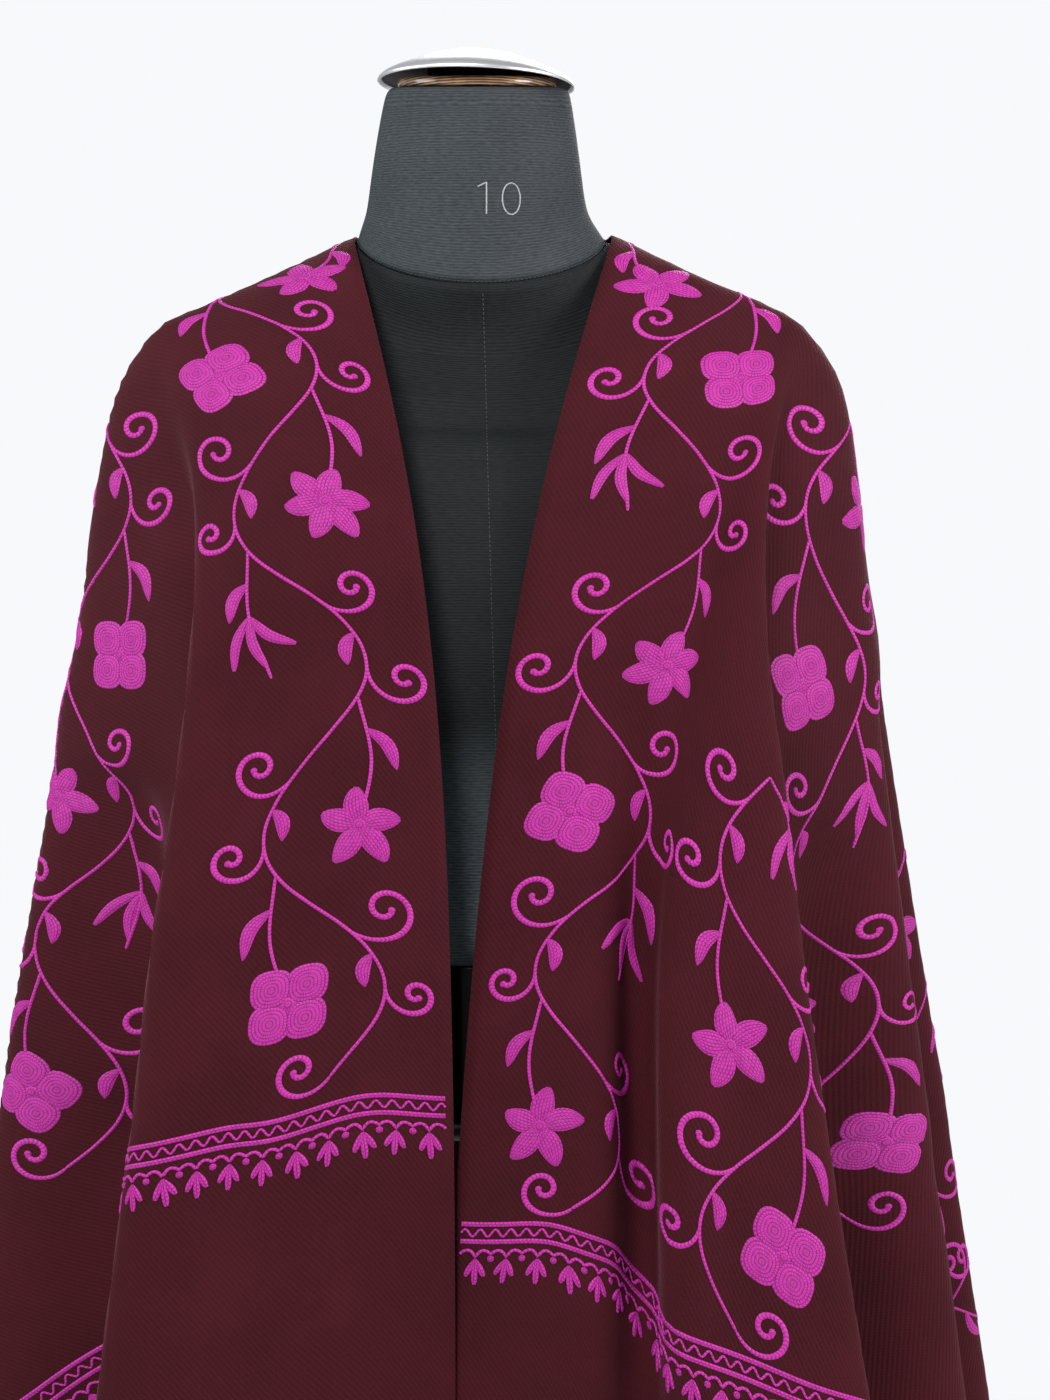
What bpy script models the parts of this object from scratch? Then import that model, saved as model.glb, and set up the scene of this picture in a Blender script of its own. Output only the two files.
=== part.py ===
"""A kashmiri shawl draped over both shoulders of a limbless dress form on a pole stand.

Metres, +Z up. The origin is the centre of the stand's underside on the floor, and the front faces -Y.
The shawl is one rectangle. A place on the flat cloth is (along, in_from_edge): along runs down the length
from the place behind the neck, once to each end, and in_from_edge starts at the edge that lies round the
neck and down both fronts.
"""

import math

import bmesh
import bpy
import numpy as np

# Shawl, flat
CLOTH_LENGTH = 2.0
CLOTH_WIDTH = 1.0
CLOTH_WALL = 0.0015
# The shawl hangs lower on the wearer's left, which is +X
SHIFT_TO_PLUS_X = 0.04

# Where the shawl meets the neck and the shoulders
NECK_CLOTH = 0.125
NECK_BACK = (0.0, 0.085, 1.405)
SHOULDER_ALONG = 0.056
SHOULDER_IN = 0.107

# Each side's neck point and shoulder point, X outwards from the middle
SIDES = {
    "left": {"sign": -1, "neck": (0.075, 0.0, 1.392), "shoulder": (0.190, 0.0, 1.342)},
    "right": {"sign": 1, "neck": (0.0745, 0.0, 1.393), "shoulder": (0.185, 0.0, 1.345)},
}

# One row for each fold, from the front edge round to the back of the neck.
# strip: share of the neck-to-shoulder line
# turn: degrees of the fan that hangs from the shoulder point, reached over a drop of turn_ease
# shape: how the cloth runs on to the next row
# lean: degrees by which the valley to the next row points forwards of straight in
# out, back: how far the fold stands from the line above it, reached over out_ease and back_ease
# out_flare, back_flare: how much further it stands for each metre of drop
COLUMNS = (
    "name", "strip", "turn", "turn_ease", "shape", "lean",
    "out", "out_ease", "out_flare", "back", "back_ease", "back_flare",
)
FOLDS = {
    "left": [
        ("front_edge", 0.0, 0.0, 0.0, "flat", 0, -0.060, 0.21, 0.0, -0.130, 0.13, 0.0),
        ("front_ridge", 1.0, 7.2, 0.25, "valley", 0, -0.055, 0.10, 0.12, -0.125, 0.15, 0.0),
        ("hidden_ridge", 1.0, 22.0, 0.0, "valley", 0, -0.120, 0.25, 0.21, -0.065, 0.12, 0.0),
        ("side_ridge", 1.0, 45.5, 0.0, "valley", 0, 0.020, 0.03, 0.15, 0.0, 0.1, 0.04),
        ("rear_ridge", 1.0, 60.0, 0.0, "valley", 37, 0.018, 0.03, 0.155, 0.035, 0.1, 0.11),
        ("back_ridge", 1.0, 75.0, 0.0, "valley", 60, 0.015, 0.05, 0.115, 0.070, 0.1, 0.17),
        ("back_corner", 1.0, 90.0, 0.0, "flat", 0, 0.0, 0.08, 0.0, 0.095, 0.12, 0.11),
    ],
    "right": [
        ("front_edge", 0.0, 0.0, 0.0, "flat", 0, -0.055, 0.22, -0.06, -0.113, 0.12, 0.0),
        ("near_lip", 0.75, 0.0, 0.0, "valley", -90, -0.055, 0.22, -0.06, -0.125, 0.15, 0.0),
        ("far_lip", 1.0, 3.0, 0.0, "flat", 0, -0.087, 0.25, 0.0, -0.128, 0.15, 0.0),
        ("front_ridge", 1.0, 14.0, 0.15, "valley", 0, -0.055, 0.10, 0.125, -0.120, 0.15, 0.0),
        ("hidden_ridge", 1.0, 27.0, 0.0, "valley", 0, -0.120, 0.25, 0.21, -0.065, 0.12, 0.0),
        ("side_ridge", 1.0, 46.0, 0.0, "valley", 0, 0.020, 0.03, 0.10, -0.005, 0.1, 0.03),
        ("rear_ridge", 1.0, 60.0, 0.0, "valley", 37, 0.020, 0.03, 0.136, 0.035, 0.1, 0.11),
        ("back_ridge", 1.0, 75.0, 0.0, "valley", 60, 0.015, 0.05, 0.10, 0.070, 0.1, 0.17),
        ("back_corner", 1.0, 90.0, 0.0, "flat", 0, 0.0, 0.08, 0.0, 0.095, 0.12, 0.11),
    ],
}
# A flat panel takes up its spare cloth by shear, all but this share
FLAT_BULGE = 0.3
# Behind the neck: the line below each neck point, and the middle of the back
BELOW_NECK = {"out": 0.035, "out_ease": 0.2, "back": 0.120, "back_ease": 0.14, "back_flare": 0.1}
MID_BACK = {"back": 0.035, "back_ease": 0.08, "back_flare": 0.1}
EASE_POWER = 1.5
MOST_FOLD_TURN = 2.0
FOLD_SMOOTHINGS = 12

# Dress form: each ring's half width, its height at the side, its reach to the front and back, and how
# much lower it runs there. The torso's first four rings carry the cloth on the neck-to-shoulder lines.
GAP = 0.0003
CLOTH_CLEARANCE = 0.0008
RING_COLUMNS = ("half_width", "height", "front", "back", "front_dip", "back_dip")
NECK_SEAM = (0.0725, 1.3895, 0.055, 0.070, 0.031, -0.006)
TORSO_RINGS = [
    (0.088, "on the line", 0.047, 0.062, 0.047, 0.022),
    (0.110, "on the line", 0.046, 0.058, 0.052, 0.036),
    (0.148, "on the line", 0.050, 0.054, 0.064, 0.057),
    (0.178, "on the line", 0.054, 0.054, 0.066, 0.058),
    (0.186, 1.318, 0.062, 0.060, 0.045, 0.040),
    (0.184, 1.285, 0.072, 0.068, 0.025, 0.020),
    (0.172, 1.235, 0.084, 0.080, 0.010, 0.005),
    (0.155, 1.165, 0.092, 0.086, 0.0, 0.0),
    (0.140, 1.100, 0.088, 0.084, 0.0, 0.0),
    (0.127, 1.030, 0.082, 0.082, 0.0, 0.0),
    (0.122, 0.975, 0.082, 0.083, 0.0, 0.0),
]
NECK_RINGS = [
    (0.0535, 1.478, 0.050, 0.054, 0.0, 0.0),
    (0.0613, 1.443, 0.052, 0.058, 0.0, 0.0),
    (0.0651, 1.414, 0.053, 0.062, 0.010, 0.0),
]
HIP_RINGS = [
    (0.1205, 0.975, 0.081, 0.082, 0.0, 0.0),
    (0.1225, 0.968, 0.083, 0.084, 0.0, 0.0),
    (0.1225, 0.930, 0.083, 0.084, 0.0, 0.0),
    (0.1150, 0.905, 0.076, 0.077, 0.0, 0.0),
    (0.0950, 0.895, 0.060, 0.061, 0.0, 0.0),
]
FORM_SIDES = 32
DIP_POWER = 1.15

PLATE_RADIUS = 0.0455
PLATE_HEIGHT = 0.006
CAP_RADIUS = 0.0576
CAP_RISE = 0.013
CAP_WALL = 0.0015
CAP_RIM = 0.0015
CAP_RIM_TURN_IN = 0.0004
KNOB_RADIUS = 0.0045
KNOB_HEIGHT = 0.004
KNOB_FLAT_SHARE = 0.7
POLE_RADIUS = 0.0125
BASE_RADIUS = 0.17
BASE_EDGE = 0.008
BASE_SHOULDER = 0.016
BASE_SHOULDER_IN = 0.012
COLLAR_HEIGHT = 0.06
COLLAR_RADIUS = 0.022
COLLAR_CHAMFER = 0.003
COLLAR_FOOT = 0.022
COLLAR_FLARE_TOP = 0.028
COLLAR_FLARE = 0.012
TURNED_STEPS = 48

# Columns of the drape on each side, and its levels
STRIP_STEPS = 24
FAN_STEPS = 180
CREST_STEPS = 12
NECK_STEPS = 16
LEVEL_STEP = 0.01
LEVELS = 130
SHOULDER_AT = NECK_CLOTH + SHOULDER_ALONG

# The solid's mesh
SOLID_CREST = 5
SOLID_FAN = 34
SOLID_NECK = 4
SOLID_LEVELS = 20
LEVEL_SPREAD = 1.35


def fold_turn_table():
    """The chord left of a fold's cloth, for each largest turn of the cloth in it."""
    turns = np.linspace(0.0, MOST_FOLD_TURN, 101)
    phase = np.linspace(0.0, 2 * math.pi, 181)[:-1]
    return turns, np.cos(turns[:, None] * np.sin(phase)).mean(axis=1)


FOLD_TURNS, FOLD_CHORDS = fold_turn_table()
FINE = np.linspace(0.0, 1.0, 161)


def fold_path(cloth, chord, shape, share):
    """How far along and across the chord the cloth is at each share of its length: it keeps its length."""
    turn = np.interp(-chord / cloth, -FOLD_CHORDS, FOLD_TURNS)
    swing = turn * (np.sin(2 * math.pi * FINE) if shape == "valley" else -np.cos(math.pi * FINE))
    step = np.diff(FINE)
    middle = (swing[1:] + swing[:-1]) / 2
    along = np.concatenate([[0.0], np.cumsum(np.cos(middle) * step)])
    across = np.concatenate([[0.0], np.cumsum(np.sin(middle) * step)])
    along *= chord / along[-1]
    across *= cloth * (FLAT_BULGE if shape == "flat" else 1.0)
    return np.interp(share, FINE, along), np.interp(share, FINE, across)


def eased(reach, ease, flare, level, power):
    return reach * (1 - np.exp(-((level / ease) ** power))) + flare * level


def side_columns(crest):
    """Strip share, fan turn and length behind the shoulder of each column of the drape, front to back."""
    after_strip = FAN_STEPS + CREST_STEPS + NECK_STEPS
    strip = np.concatenate([np.linspace(0, 1, STRIP_STEPS + 1), np.ones(after_strip)])
    turn = np.concatenate(
        [np.zeros(STRIP_STEPS), np.linspace(0, 90, FAN_STEPS + 1), np.full(CREST_STEPS + NECK_STEPS, 90.0)]
    )
    behind = np.concatenate(
        [
            np.zeros(STRIP_STEPS + FAN_STEPS),
            np.linspace(0, crest, CREST_STEPS + 1),
            crest + NECK_CLOTH * np.arange(1, NECK_STEPS + 1) / NECK_STEPS,
        ]
    )
    return strip, turn, behind


def side_rows(name, crest, level):
    """Place of each fold in plan at this level: (strip, turn, behind, shape, lean, out, back)."""
    side = SIDES[name]
    neck = np.array(side["neck"][:2])
    shoulder = np.array(side["shoulder"][:2])
    rows = []
    for fold in FOLDS[name]:
        row = dict(zip(COLUMNS, fold))
        start = neck + (shoulder - neck) * row["strip"]
        out = start[0] + eased(row["out"], row["out_ease"], row["out_flare"], level, EASE_POWER)
        back = start[1] + eased(row["back"], row["back_ease"], row["back_flare"], level, 1.0)
        turn = row["turn"]
        if row["turn_ease"] > 0:
            turn = eased(turn, row["turn_ease"], 0.0, level, EASE_POWER)
        rows.append((row["strip"], turn, 0.0, row["shape"], row["lean"], out, back))
    out = neck[0] + eased(BELOW_NECK["out"], BELOW_NECK["out_ease"], 0.0, level, EASE_POWER)
    back = neck[1] + eased(BELOW_NECK["back"], BELOW_NECK["back_ease"], BELOW_NECK["back_flare"], level, 1.0)
    rows.append((1.0, 90.0, crest, "arch", 0, out, back))
    back = NECK_BACK[1] + eased(MID_BACK["back"], MID_BACK["back_ease"], MID_BACK["back_flare"], level, 1.0)
    rows.append((1.0, 90.0, crest + NECK_CLOTH, "arch", 0, 0.0, back))
    return rows


def side_plan(name):
    """Plan of one side of the drape: out and back for each level and column."""
    side = SIDES[name]
    crest = math.dist(side["neck"][:2], side["shoulder"][:2])
    strip, turn, behind = side_columns(crest)
    plan = np.zeros((LEVELS + 1, len(strip), 2))
    for index in range(LEVELS + 1):
        level = max(index * LEVEL_STEP, 1e-3)
        place = crest * strip + np.radians(turn) * level + behind
        rows = side_rows(name, crest, level)
        for first, last in zip(rows, rows[1:]):
            start = crest * first[0] + math.radians(first[1]) * level + first[2]
            cloth = crest * last[0] + math.radians(last[1]) * level + last[2] - start
            begin = np.array(first[5:])
            chord = np.array(last[5:]) - begin
            length = np.linalg.norm(chord)
            chord /= length
            inwards = np.array([-chord[1], chord[0]])
            if first[3] == "valley":
                lean = math.radians(first[4])
                inwards = np.array([-math.cos(lean), -math.sin(lean)])
            here = (place >= start - 1e-9) & (place <= start + cloth + 1e-9)
            share = (place[here] - start) / cloth
            along, across = fold_path(cloth, length, first[3], share)
            plan[index, here] = begin + along[:, None] * chord + across[:, None] * inwards
    return plan


def top_heights(name):
    """Height of the top of each column: the neck-to-shoulder line, the shoulder point, and round the neck."""
    side = SIDES[name]
    neck = side["neck"][2]
    shoulder = side["shoulder"][2]
    strip = np.linspace(neck, shoulder, STRIP_STEPS + 1)
    fan = np.full(FAN_STEPS, shoulder)
    crest = np.linspace(shoulder, neck, CREST_STEPS + 1)[1:]
    rise = (np.arange(1, NECK_STEPS + 1) / NECK_STEPS) ** 2
    round_neck = neck + (NECK_BACK[2] - neck) * (1 - (1 - rise) ** 2)
    return np.concatenate([strip, fan, crest, round_neck])


def drape_table():
    """The whole drape: X, Y and Z for each level and column, from the -X front edge round to the +X one."""
    left = side_plan("left")
    right = side_plan("right")
    left[..., 0] *= SIDES["left"]["sign"]
    plan = np.concatenate([left, right[:, ::-1][:, 1:]], axis=1)
    for _ in range(FOLD_SMOOTHINGS):
        middle = (plan[1:, :-2] + 2 * plan[1:, 1:-1] + plan[1:, 2:]) / 4
        plan[1:, 1:-1] = middle
    tops = np.concatenate([top_heights("left"), top_heights("right")[::-1][1:]])
    run = np.linalg.norm(np.diff(plan, axis=0), axis=2)
    fall = np.sqrt(np.maximum(LEVEL_STEP**2 - run**2, (0.05 * LEVEL_STEP) ** 2))
    drops = np.concatenate([np.zeros((1, plan.shape[1])), np.cumsum(fall, axis=0)])
    return np.concatenate([plan, (tops - drops)[..., None]], axis=2)


DRAPE = drape_table()
SIDE_STEPS = STRIP_STEPS + FAN_STEPS + CREST_STEPS + NECK_STEPS


def column_and_level(along, in_from_edge):
    """Column and level of the drape at places on one side of the flat cloth."""
    crest = NECK_CLOTH + SHOULDER_ALONG * in_from_edge / SHOULDER_IN
    beyond = np.maximum(along - SHOULDER_AT, 0.0)
    below = np.maximum(in_from_edge - SHOULDER_IN, 0.0)
    in_strip = (in_from_edge <= SHOULDER_IN) & (along >= crest)
    in_fan = (in_from_edge > SHOULDER_IN) & (along > SHOULDER_AT)
    past_neck = np.clip((along - NECK_CLOTH) / SHOULDER_ALONG, 0.0, 1.0)
    column = STRIP_STEPS + FAN_STEPS + CREST_STEPS * (1 - past_neck)
    column = column + NECK_STEPS * (1 - np.clip(along / NECK_CLOTH, 0.0, 1.0))
    level = in_from_edge - SHOULDER_IN * past_neck
    fan_column = STRIP_STEPS + FAN_STEPS * np.arctan2(below, np.maximum(beyond, 1e-9)) / (math.pi / 2)
    column = np.where(in_fan, fan_column, column)
    level = np.where(in_fan, np.hypot(beyond, below), level)
    column = np.where(in_strip, STRIP_STEPS * in_from_edge / SHOULDER_IN, column)
    return column, np.where(in_strip, along - crest, level)


def drape(along, in_from_edge):
    """Places on the flat cloth (along below zero is the -X side) to the points where they hang."""
    column, level = column_and_level(np.abs(along), in_from_edge)
    column = np.where(along > 0, 2 * SIDE_STEPS - column, column)
    level = level / LEVEL_STEP
    left = np.clip(column.astype(int), 0, DRAPE.shape[1] - 2)
    upper = np.clip(level.astype(int), 0, LEVELS - 1)
    across = (column - left)[:, None]
    down = (level - upper)[:, None]
    top = DRAPE[upper, left] * (1 - across) + DRAPE[upper, left + 1] * across
    bottom = DRAPE[upper + 1, left] * (1 - across) + DRAPE[upper + 1, left + 1] * across
    return top * (1 - down) + bottom * down


def side_stations(end):
    """Top and hem of each station of the solid on one side of the flat cloth, front edge to mid back."""
    corner = math.atan2(CLOTH_WIDTH - SHOULDER_IN, end - SHOULDER_AT)
    stations = []
    for share in np.linspace(0, 1, SOLID_CREST + 1)[:-1]:
        top = np.array([NECK_CLOTH + SHOULDER_ALONG * share, SHOULDER_IN * share])
        stations.append((top, np.array([end, top[1]])))
    shoulder = np.array([SHOULDER_AT, SHOULDER_IN])
    front_steps = round(SOLID_FAN * corner / (math.pi / 2))
    angles = np.linspace(0, corner, front_steps + 1)[:-1]
    angles = np.concatenate([angles, np.linspace(corner, math.pi / 2, SOLID_FAN - front_steps + 1)])
    for angle in angles:
        reach = min(
            (end - SHOULDER_AT) / max(math.cos(angle), 1e-9),
            (CLOTH_WIDTH - SHOULDER_IN) / max(math.sin(angle), 1e-9),
        )
        stations.append((shoulder, shoulder + reach * np.array([math.cos(angle), math.sin(angle)])))
    for share in np.linspace(1, 0, SOLID_CREST + 1)[1:]:
        top = np.array([NECK_CLOTH + SHOULDER_ALONG * share, SHOULDER_IN * share])
        stations.append((top, np.array([top[0], CLOTH_WIDTH])))
    for share in np.linspace(1, 0, SOLID_NECK + 1)[1:]:
        stations.append((np.array([NECK_CLOTH * share, 0.0]), np.array([NECK_CLOTH * share, CLOTH_WIDTH])))
    return stations


def principled(name, color, roughness, metallic=0.0):
    material = bpy.data.materials.new(name)
    material.use_nodes = True
    shader = material.node_tree.nodes["Principled BSDF"]
    shader.inputs["Base Color"].default_value = (*color, 1.0)
    shader.inputs["Roughness"].default_value = roughness
    shader.inputs["Metallic"].default_value = metallic
    return material


def finished(obj, material, collection):
    obj.data.materials.append(material)
    collection.objects.link(obj)
    obj.data.shade_smooth()
    return obj


def shawl(material, collection):
    """The one rectangle of cloth, hung from the neck-to-shoulder lines and the shoulder points."""
    mesh = bmesh.new()
    made = {}

    def vertex(place):
        key = (round(place[0], 5), round(place[1], 5))
        if key not in made:
            point = drape(np.array([place[0]]), np.array([place[1]]))[0]
            made[key] = mesh.verts.new(point)
        return made[key]

    shares = (np.arange(SOLID_LEVELS + 1) / SOLID_LEVELS) ** LEVEL_SPREAD
    half = CLOTH_LENGTH / 2
    for sign, end in ((-1, half - SHIFT_TO_PLUS_X), (1, half + SHIFT_TO_PLUS_X)):
        flat = [[top + (hem - top) * share for share in shares] for top, hem in side_stations(end)]
        flat = [[vertex((sign * place[0], place[1])) for place in line] for line in flat]
        for near, far in zip(flat, flat[1:]):
            for level in range(SOLID_LEVELS):
                ring = [near[level], near[level + 1], far[level + 1], far[level]]
                corners = list(dict.fromkeys(ring))
                if len(corners) > 2:
                    mesh.faces.new(corners if sign > 0 else corners[::-1])
    data = bpy.data.meshes.new("shawl")
    mesh.normal_update()
    mesh.to_mesh(data)
    mesh.free()
    obj = bpy.data.objects.new("shawl", data)
    wall = obj.modifiers.new("Wall", "SOLIDIFY")
    wall.thickness = CLOTH_WALL
    wall.offset = 1.0
    return finished(obj, material, collection)


def crest_height(half_width):
    """Height of the lower of the two neck-to-shoulder lines at this distance from the middle."""
    heights = []
    for side in SIDES.values():
        neck, shoulder = side["neck"], side["shoulder"]
        share = (half_width - neck[0]) / (shoulder[0] - neck[0])
        heights.append(neck[2] + (shoulder[2] - neck[2]) * share)
    return min(heights)


def ring_points(row, lowered=0.0):
    """An oval ring of the form, which may run lower at its front and back than at its sides."""
    ring = dict(zip(RING_COLUMNS, row))
    height = ring["height"]
    if height == "on the line":
        height = crest_height(ring["half_width"]) - CLOTH_CLEARANCE
    points = []
    for index in range(FORM_SIDES):
        angle = 2 * math.pi * index / FORM_SIDES
        side = "back" if math.sin(angle) > 0 else "front"
        depth = ring[side] * math.sin(angle)
        dip = ring[side + "_dip"] * abs(math.sin(angle)) ** DIP_POWER
        points.append((ring["half_width"] * math.cos(angle), depth, height - dip - lowered))
    return points


def lofted(name, rings):
    """A closed solid through rings listed from the top down, each end closed to a middle point."""
    mesh = bmesh.new()
    made = [[mesh.verts.new(point) for point in ring] for ring in rings]
    for upper, lower in zip(made, made[1:]):
        for index in range(FORM_SIDES):
            after = (index + 1) % FORM_SIDES
            mesh.faces.new((upper[index], lower[index], lower[after], upper[after]))
    for ring, top in ((made[0], True), (made[-1], False)):
        middle = mesh.verts.new(np.mean([vertex.co for vertex in ring], axis=0))
        for index in range(FORM_SIDES):
            pair = (ring[index], ring[(index + 1) % FORM_SIDES])
            mesh.faces.new((*(pair if top else pair[::-1]), middle))
    data = bpy.data.meshes.new(name)
    mesh.to_mesh(data)
    mesh.free()
    return bpy.data.objects.new(name, data)


def turned(name, profile):
    """A turned solid from a half profile of (radius, height), which runs from the top down its outer side."""
    mesh = bmesh.new()
    points = [mesh.verts.new((radius, 0.0, height)) for radius, height in profile]
    for upper, lower in zip(points, points[1:]):
        mesh.edges.new((upper, lower))
    if profile[0][0] > 0:
        mesh.edges.new((points[-1], points[0]))
    data = bpy.data.meshes.new(name)
    mesh.to_mesh(data)
    mesh.free()
    obj = bpy.data.objects.new(name, data)
    screw = obj.modifiers.new("Turn", "SCREW")
    screw.steps = TURNED_STEPS
    screw.render_steps = TURNED_STEPS
    screw.use_merge_vertices = True
    screw.merge_threshold = 1e-5
    return obj


def form_torso():
    return lofted("form_torso", [ring_points(NECK_SEAM, GAP)] + [ring_points(row) for row in TORSO_RINGS])


def form_neck():
    return lofted("form_neck", [ring_points(row) for row in NECK_RINGS + [NECK_SEAM]])


def hip_shell():
    return lofted("hip_shell", [ring_points(row, GAP) for row in HIP_RINGS])


def neck_plate(foot):
    top = foot + PLATE_HEIGHT
    return turned("neck_plate", [(0.0, top), (PLATE_RADIUS, top), (PLATE_RADIUS, foot), (0.0, foot)])


def neck_cap(foot):
    """A shallow dome with a rolled rim. Its hub stands on the plate, and the rim hangs clear outside it."""
    outer = [
        (CAP_RADIUS * math.sin(math.radians(turn)), foot + CAP_RISE * math.cos(math.radians(turn)))
        for turn in range(0, 91, 10)
    ]
    inner_radius = CAP_RADIUS - CAP_WALL
    inner_rise = CAP_RISE - 2 * CAP_WALL
    inner = [
        (inner_radius * math.sin(math.radians(turn)), foot + inner_rise * math.cos(math.radians(turn)))
        for turn in range(90, 29, -10)
    ]
    hub = [(inner[-1][0], foot), (0.0, foot)]
    rim = [(CAP_RADIUS - CAP_RIM_TURN_IN, foot - CAP_RIM), (inner_radius, foot - CAP_RIM)]
    return turned("neck_cap", outer + rim + inner + hub)


def cap_knob(foot):
    top = foot + KNOB_HEIGHT
    waist = foot + KNOB_HEIGHT / 2
    edge = KNOB_RADIUS * KNOB_FLAT_SHARE
    return turned("cap_knob", [(0.0, top), (edge, top), (KNOB_RADIUS, waist), (edge, foot), (0.0, foot)])


def stand_pole(foot, top):
    return turned("stand_pole", [(0.0, top), (POLE_RADIUS, top), (POLE_RADIUS, foot), (0.0, foot)])


def stand_base():
    """A flat round base with a collar for the pole. Its whole underside is flat on the floor."""
    profile = [
        (0.0, COLLAR_HEIGHT),
        (COLLAR_RADIUS - COLLAR_CHAMFER, COLLAR_HEIGHT),
        (COLLAR_RADIUS, COLLAR_HEIGHT - COLLAR_CHAMFER),
        (COLLAR_RADIUS, COLLAR_FLARE_TOP),
        (COLLAR_RADIUS + COLLAR_FLARE, COLLAR_FOOT),
        (BASE_RADIUS - BASE_SHOULDER_IN, BASE_SHOULDER),
        (BASE_RADIUS, BASE_EDGE),
        (BASE_RADIUS, 0.0),
        (0.0, 0.0),
    ]
    return turned("stand_base", profile)


def main():
    for old in list(bpy.data.objects):
        bpy.data.objects.remove(old, do_unlink=True)
    collection = bpy.data.collections.new("kashmiri_shawl")
    bpy.context.scene.collection.children.link(collection)
    wool = principled("burgundy_wool", (0.055, 0.008, 0.014), 0.85)
    body_knit = principled("black_knit", (0.012, 0.013, 0.015), 0.8)
    neck_knit = principled("dark_grey_knit", (0.022, 0.024, 0.028), 0.8)
    wood = principled("brown_wood", (0.22, 0.12, 0.05), 0.5)
    steel = principled("polished_steel", (0.45, 0.46, 0.50), 0.2, 1.0)
    knob_wood = principled("pale_wood", (0.55, 0.42, 0.2), 0.5)
    gloss = principled("gloss_black", (0.006, 0.006, 0.007), 0.12)
    black_metal = principled("black_metal", (0.01, 0.01, 0.01), 0.4, 0.5)
    neck_top = NECK_RINGS[0][1]
    plate_top = neck_top + GAP + PLATE_HEIGHT
    cap_foot = plate_top + GAP
    hip_foot = HIP_RINGS[-1][1] - GAP
    shawl(wool, collection)
    finished(form_torso(), body_knit, collection)
    finished(form_neck(), neck_knit, collection)
    finished(neck_plate(neck_top + GAP), wood, collection)
    finished(neck_cap(cap_foot), steel, collection)
    finished(cap_knob(cap_foot + CAP_RISE + GAP), knob_wood, collection)
    finished(hip_shell(), gloss, collection)
    finished(stand_pole(COLLAR_HEIGHT + GAP, hip_foot - GAP), black_metal, collection)
    finished(stand_base(), black_metal, collection)


main()
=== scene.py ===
"""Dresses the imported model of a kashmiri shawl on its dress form, and sets the photograph's view of it."""

import math

import bmesh
import bpy
import numpy as np
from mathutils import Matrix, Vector
from mathutils.bvhtree import BVHTree


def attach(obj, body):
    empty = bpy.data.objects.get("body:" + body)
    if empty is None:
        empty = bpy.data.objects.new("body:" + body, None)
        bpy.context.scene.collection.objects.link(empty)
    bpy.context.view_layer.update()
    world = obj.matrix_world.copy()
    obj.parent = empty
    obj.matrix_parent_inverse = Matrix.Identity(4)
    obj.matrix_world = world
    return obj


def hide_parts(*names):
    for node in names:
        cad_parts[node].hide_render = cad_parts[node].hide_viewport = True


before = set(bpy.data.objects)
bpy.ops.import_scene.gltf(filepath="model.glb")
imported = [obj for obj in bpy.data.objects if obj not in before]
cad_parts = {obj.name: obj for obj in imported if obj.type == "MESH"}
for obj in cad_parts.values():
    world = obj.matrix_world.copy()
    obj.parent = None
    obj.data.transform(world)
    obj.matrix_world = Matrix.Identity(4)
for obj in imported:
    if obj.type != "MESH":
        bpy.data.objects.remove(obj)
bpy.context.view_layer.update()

# The view: a long lens at chest height, straight on, a hand's breadth right of the form's middle.
# The hem and the stand are below the picture.
camera_distance = 1.95
camera_height = 1.123
camera_right = 0.0238
picture_height = 1400
pixels_per_metre = 1720
sensor_height = 24.0
lens = pixels_per_metre * camera_distance / picture_height * sensor_height

camera_data = bpy.data.cameras.new("view")
camera_data.sensor_fit = "VERTICAL"
camera_data.sensor_height = sensor_height
camera_data.lens = lens
camera = bpy.data.objects.new("view", camera_data)
camera.location = (camera_right, -camera_distance, camera_height)
camera.rotation_euler = (math.pi / 2, 0.0, 0.0)
bpy.context.scene.collection.objects.link(camera)
bpy.context.scene.camera = camera

# Dress form's torso: hard foam covered in black knit, drawn tight and sewn up the middle of the front.
# Each ring has its half width, its height at the side, its reach to front and back, and how much lower
# it runs there.
ring_columns = ("half_width", "height", "front", "back", "front_dip", "back_dip", "to_plus_x")
neck_seam = (0.0725, 1.3895, 0.055, 0.070, 0.031, -0.006)
torso_rings = [
    (0.0725, 1.3892, 0.055, 0.070, 0.031, -0.006),
    (0.088, 1.3815, 0.047, 0.062, 0.047, 0.022),
    (0.110, 1.3715, 0.046, 0.058, 0.052, 0.036),
    (0.148, 1.3545, 0.050, 0.054, 0.064, 0.057),
    (0.178, 1.3410, 0.054, 0.054, 0.066, 0.058),
    (0.186, 1.318, 0.062, 0.060, 0.045, 0.040),
    (0.184, 1.285, 0.072, 0.068, 0.025, 0.020),
    (0.172, 1.235, 0.084, 0.080, 0.010, 0.005),
    (0.155, 1.165, 0.092, 0.086, 0.0, 0.0),
    (0.140, 1.100, 0.088, 0.084, 0.0, 0.0),
    (0.127, 1.030, 0.082, 0.082, 0.0, 0.0),
    (0.122, 0.975, 0.082, 0.083, 0.0, 0.0),
]
form_sides = 48
dip_power = 1.15
smooth_levels = 2


def node(tree, kind, values=(), **settings):
    """A node of this kind, with its settings and its input values."""
    made = tree.nodes.new(kind)
    for name, value in settings.items():
        setattr(made, name, value)
    for name, value in dict(values).items():
        if isinstance(value, bpy.types.NodeSocket):
            tree.links.new(value, made.inputs[name])
        else:
            made.inputs[name].default_value = value
    return made


def math_node(tree, operation, first, second=0.0, third=0.0):
    return node(tree, "ShaderNodeMath", {0: first, 1: second, 2: third}, operation=operation).outputs[0]


def wave(tree, value, pitch):
    """A sine along a value, with one wave to each pitch."""
    return math_node(tree, "SINE", math_node(tree, "MULTIPLY", value, 2 * math.pi / pitch))


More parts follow.
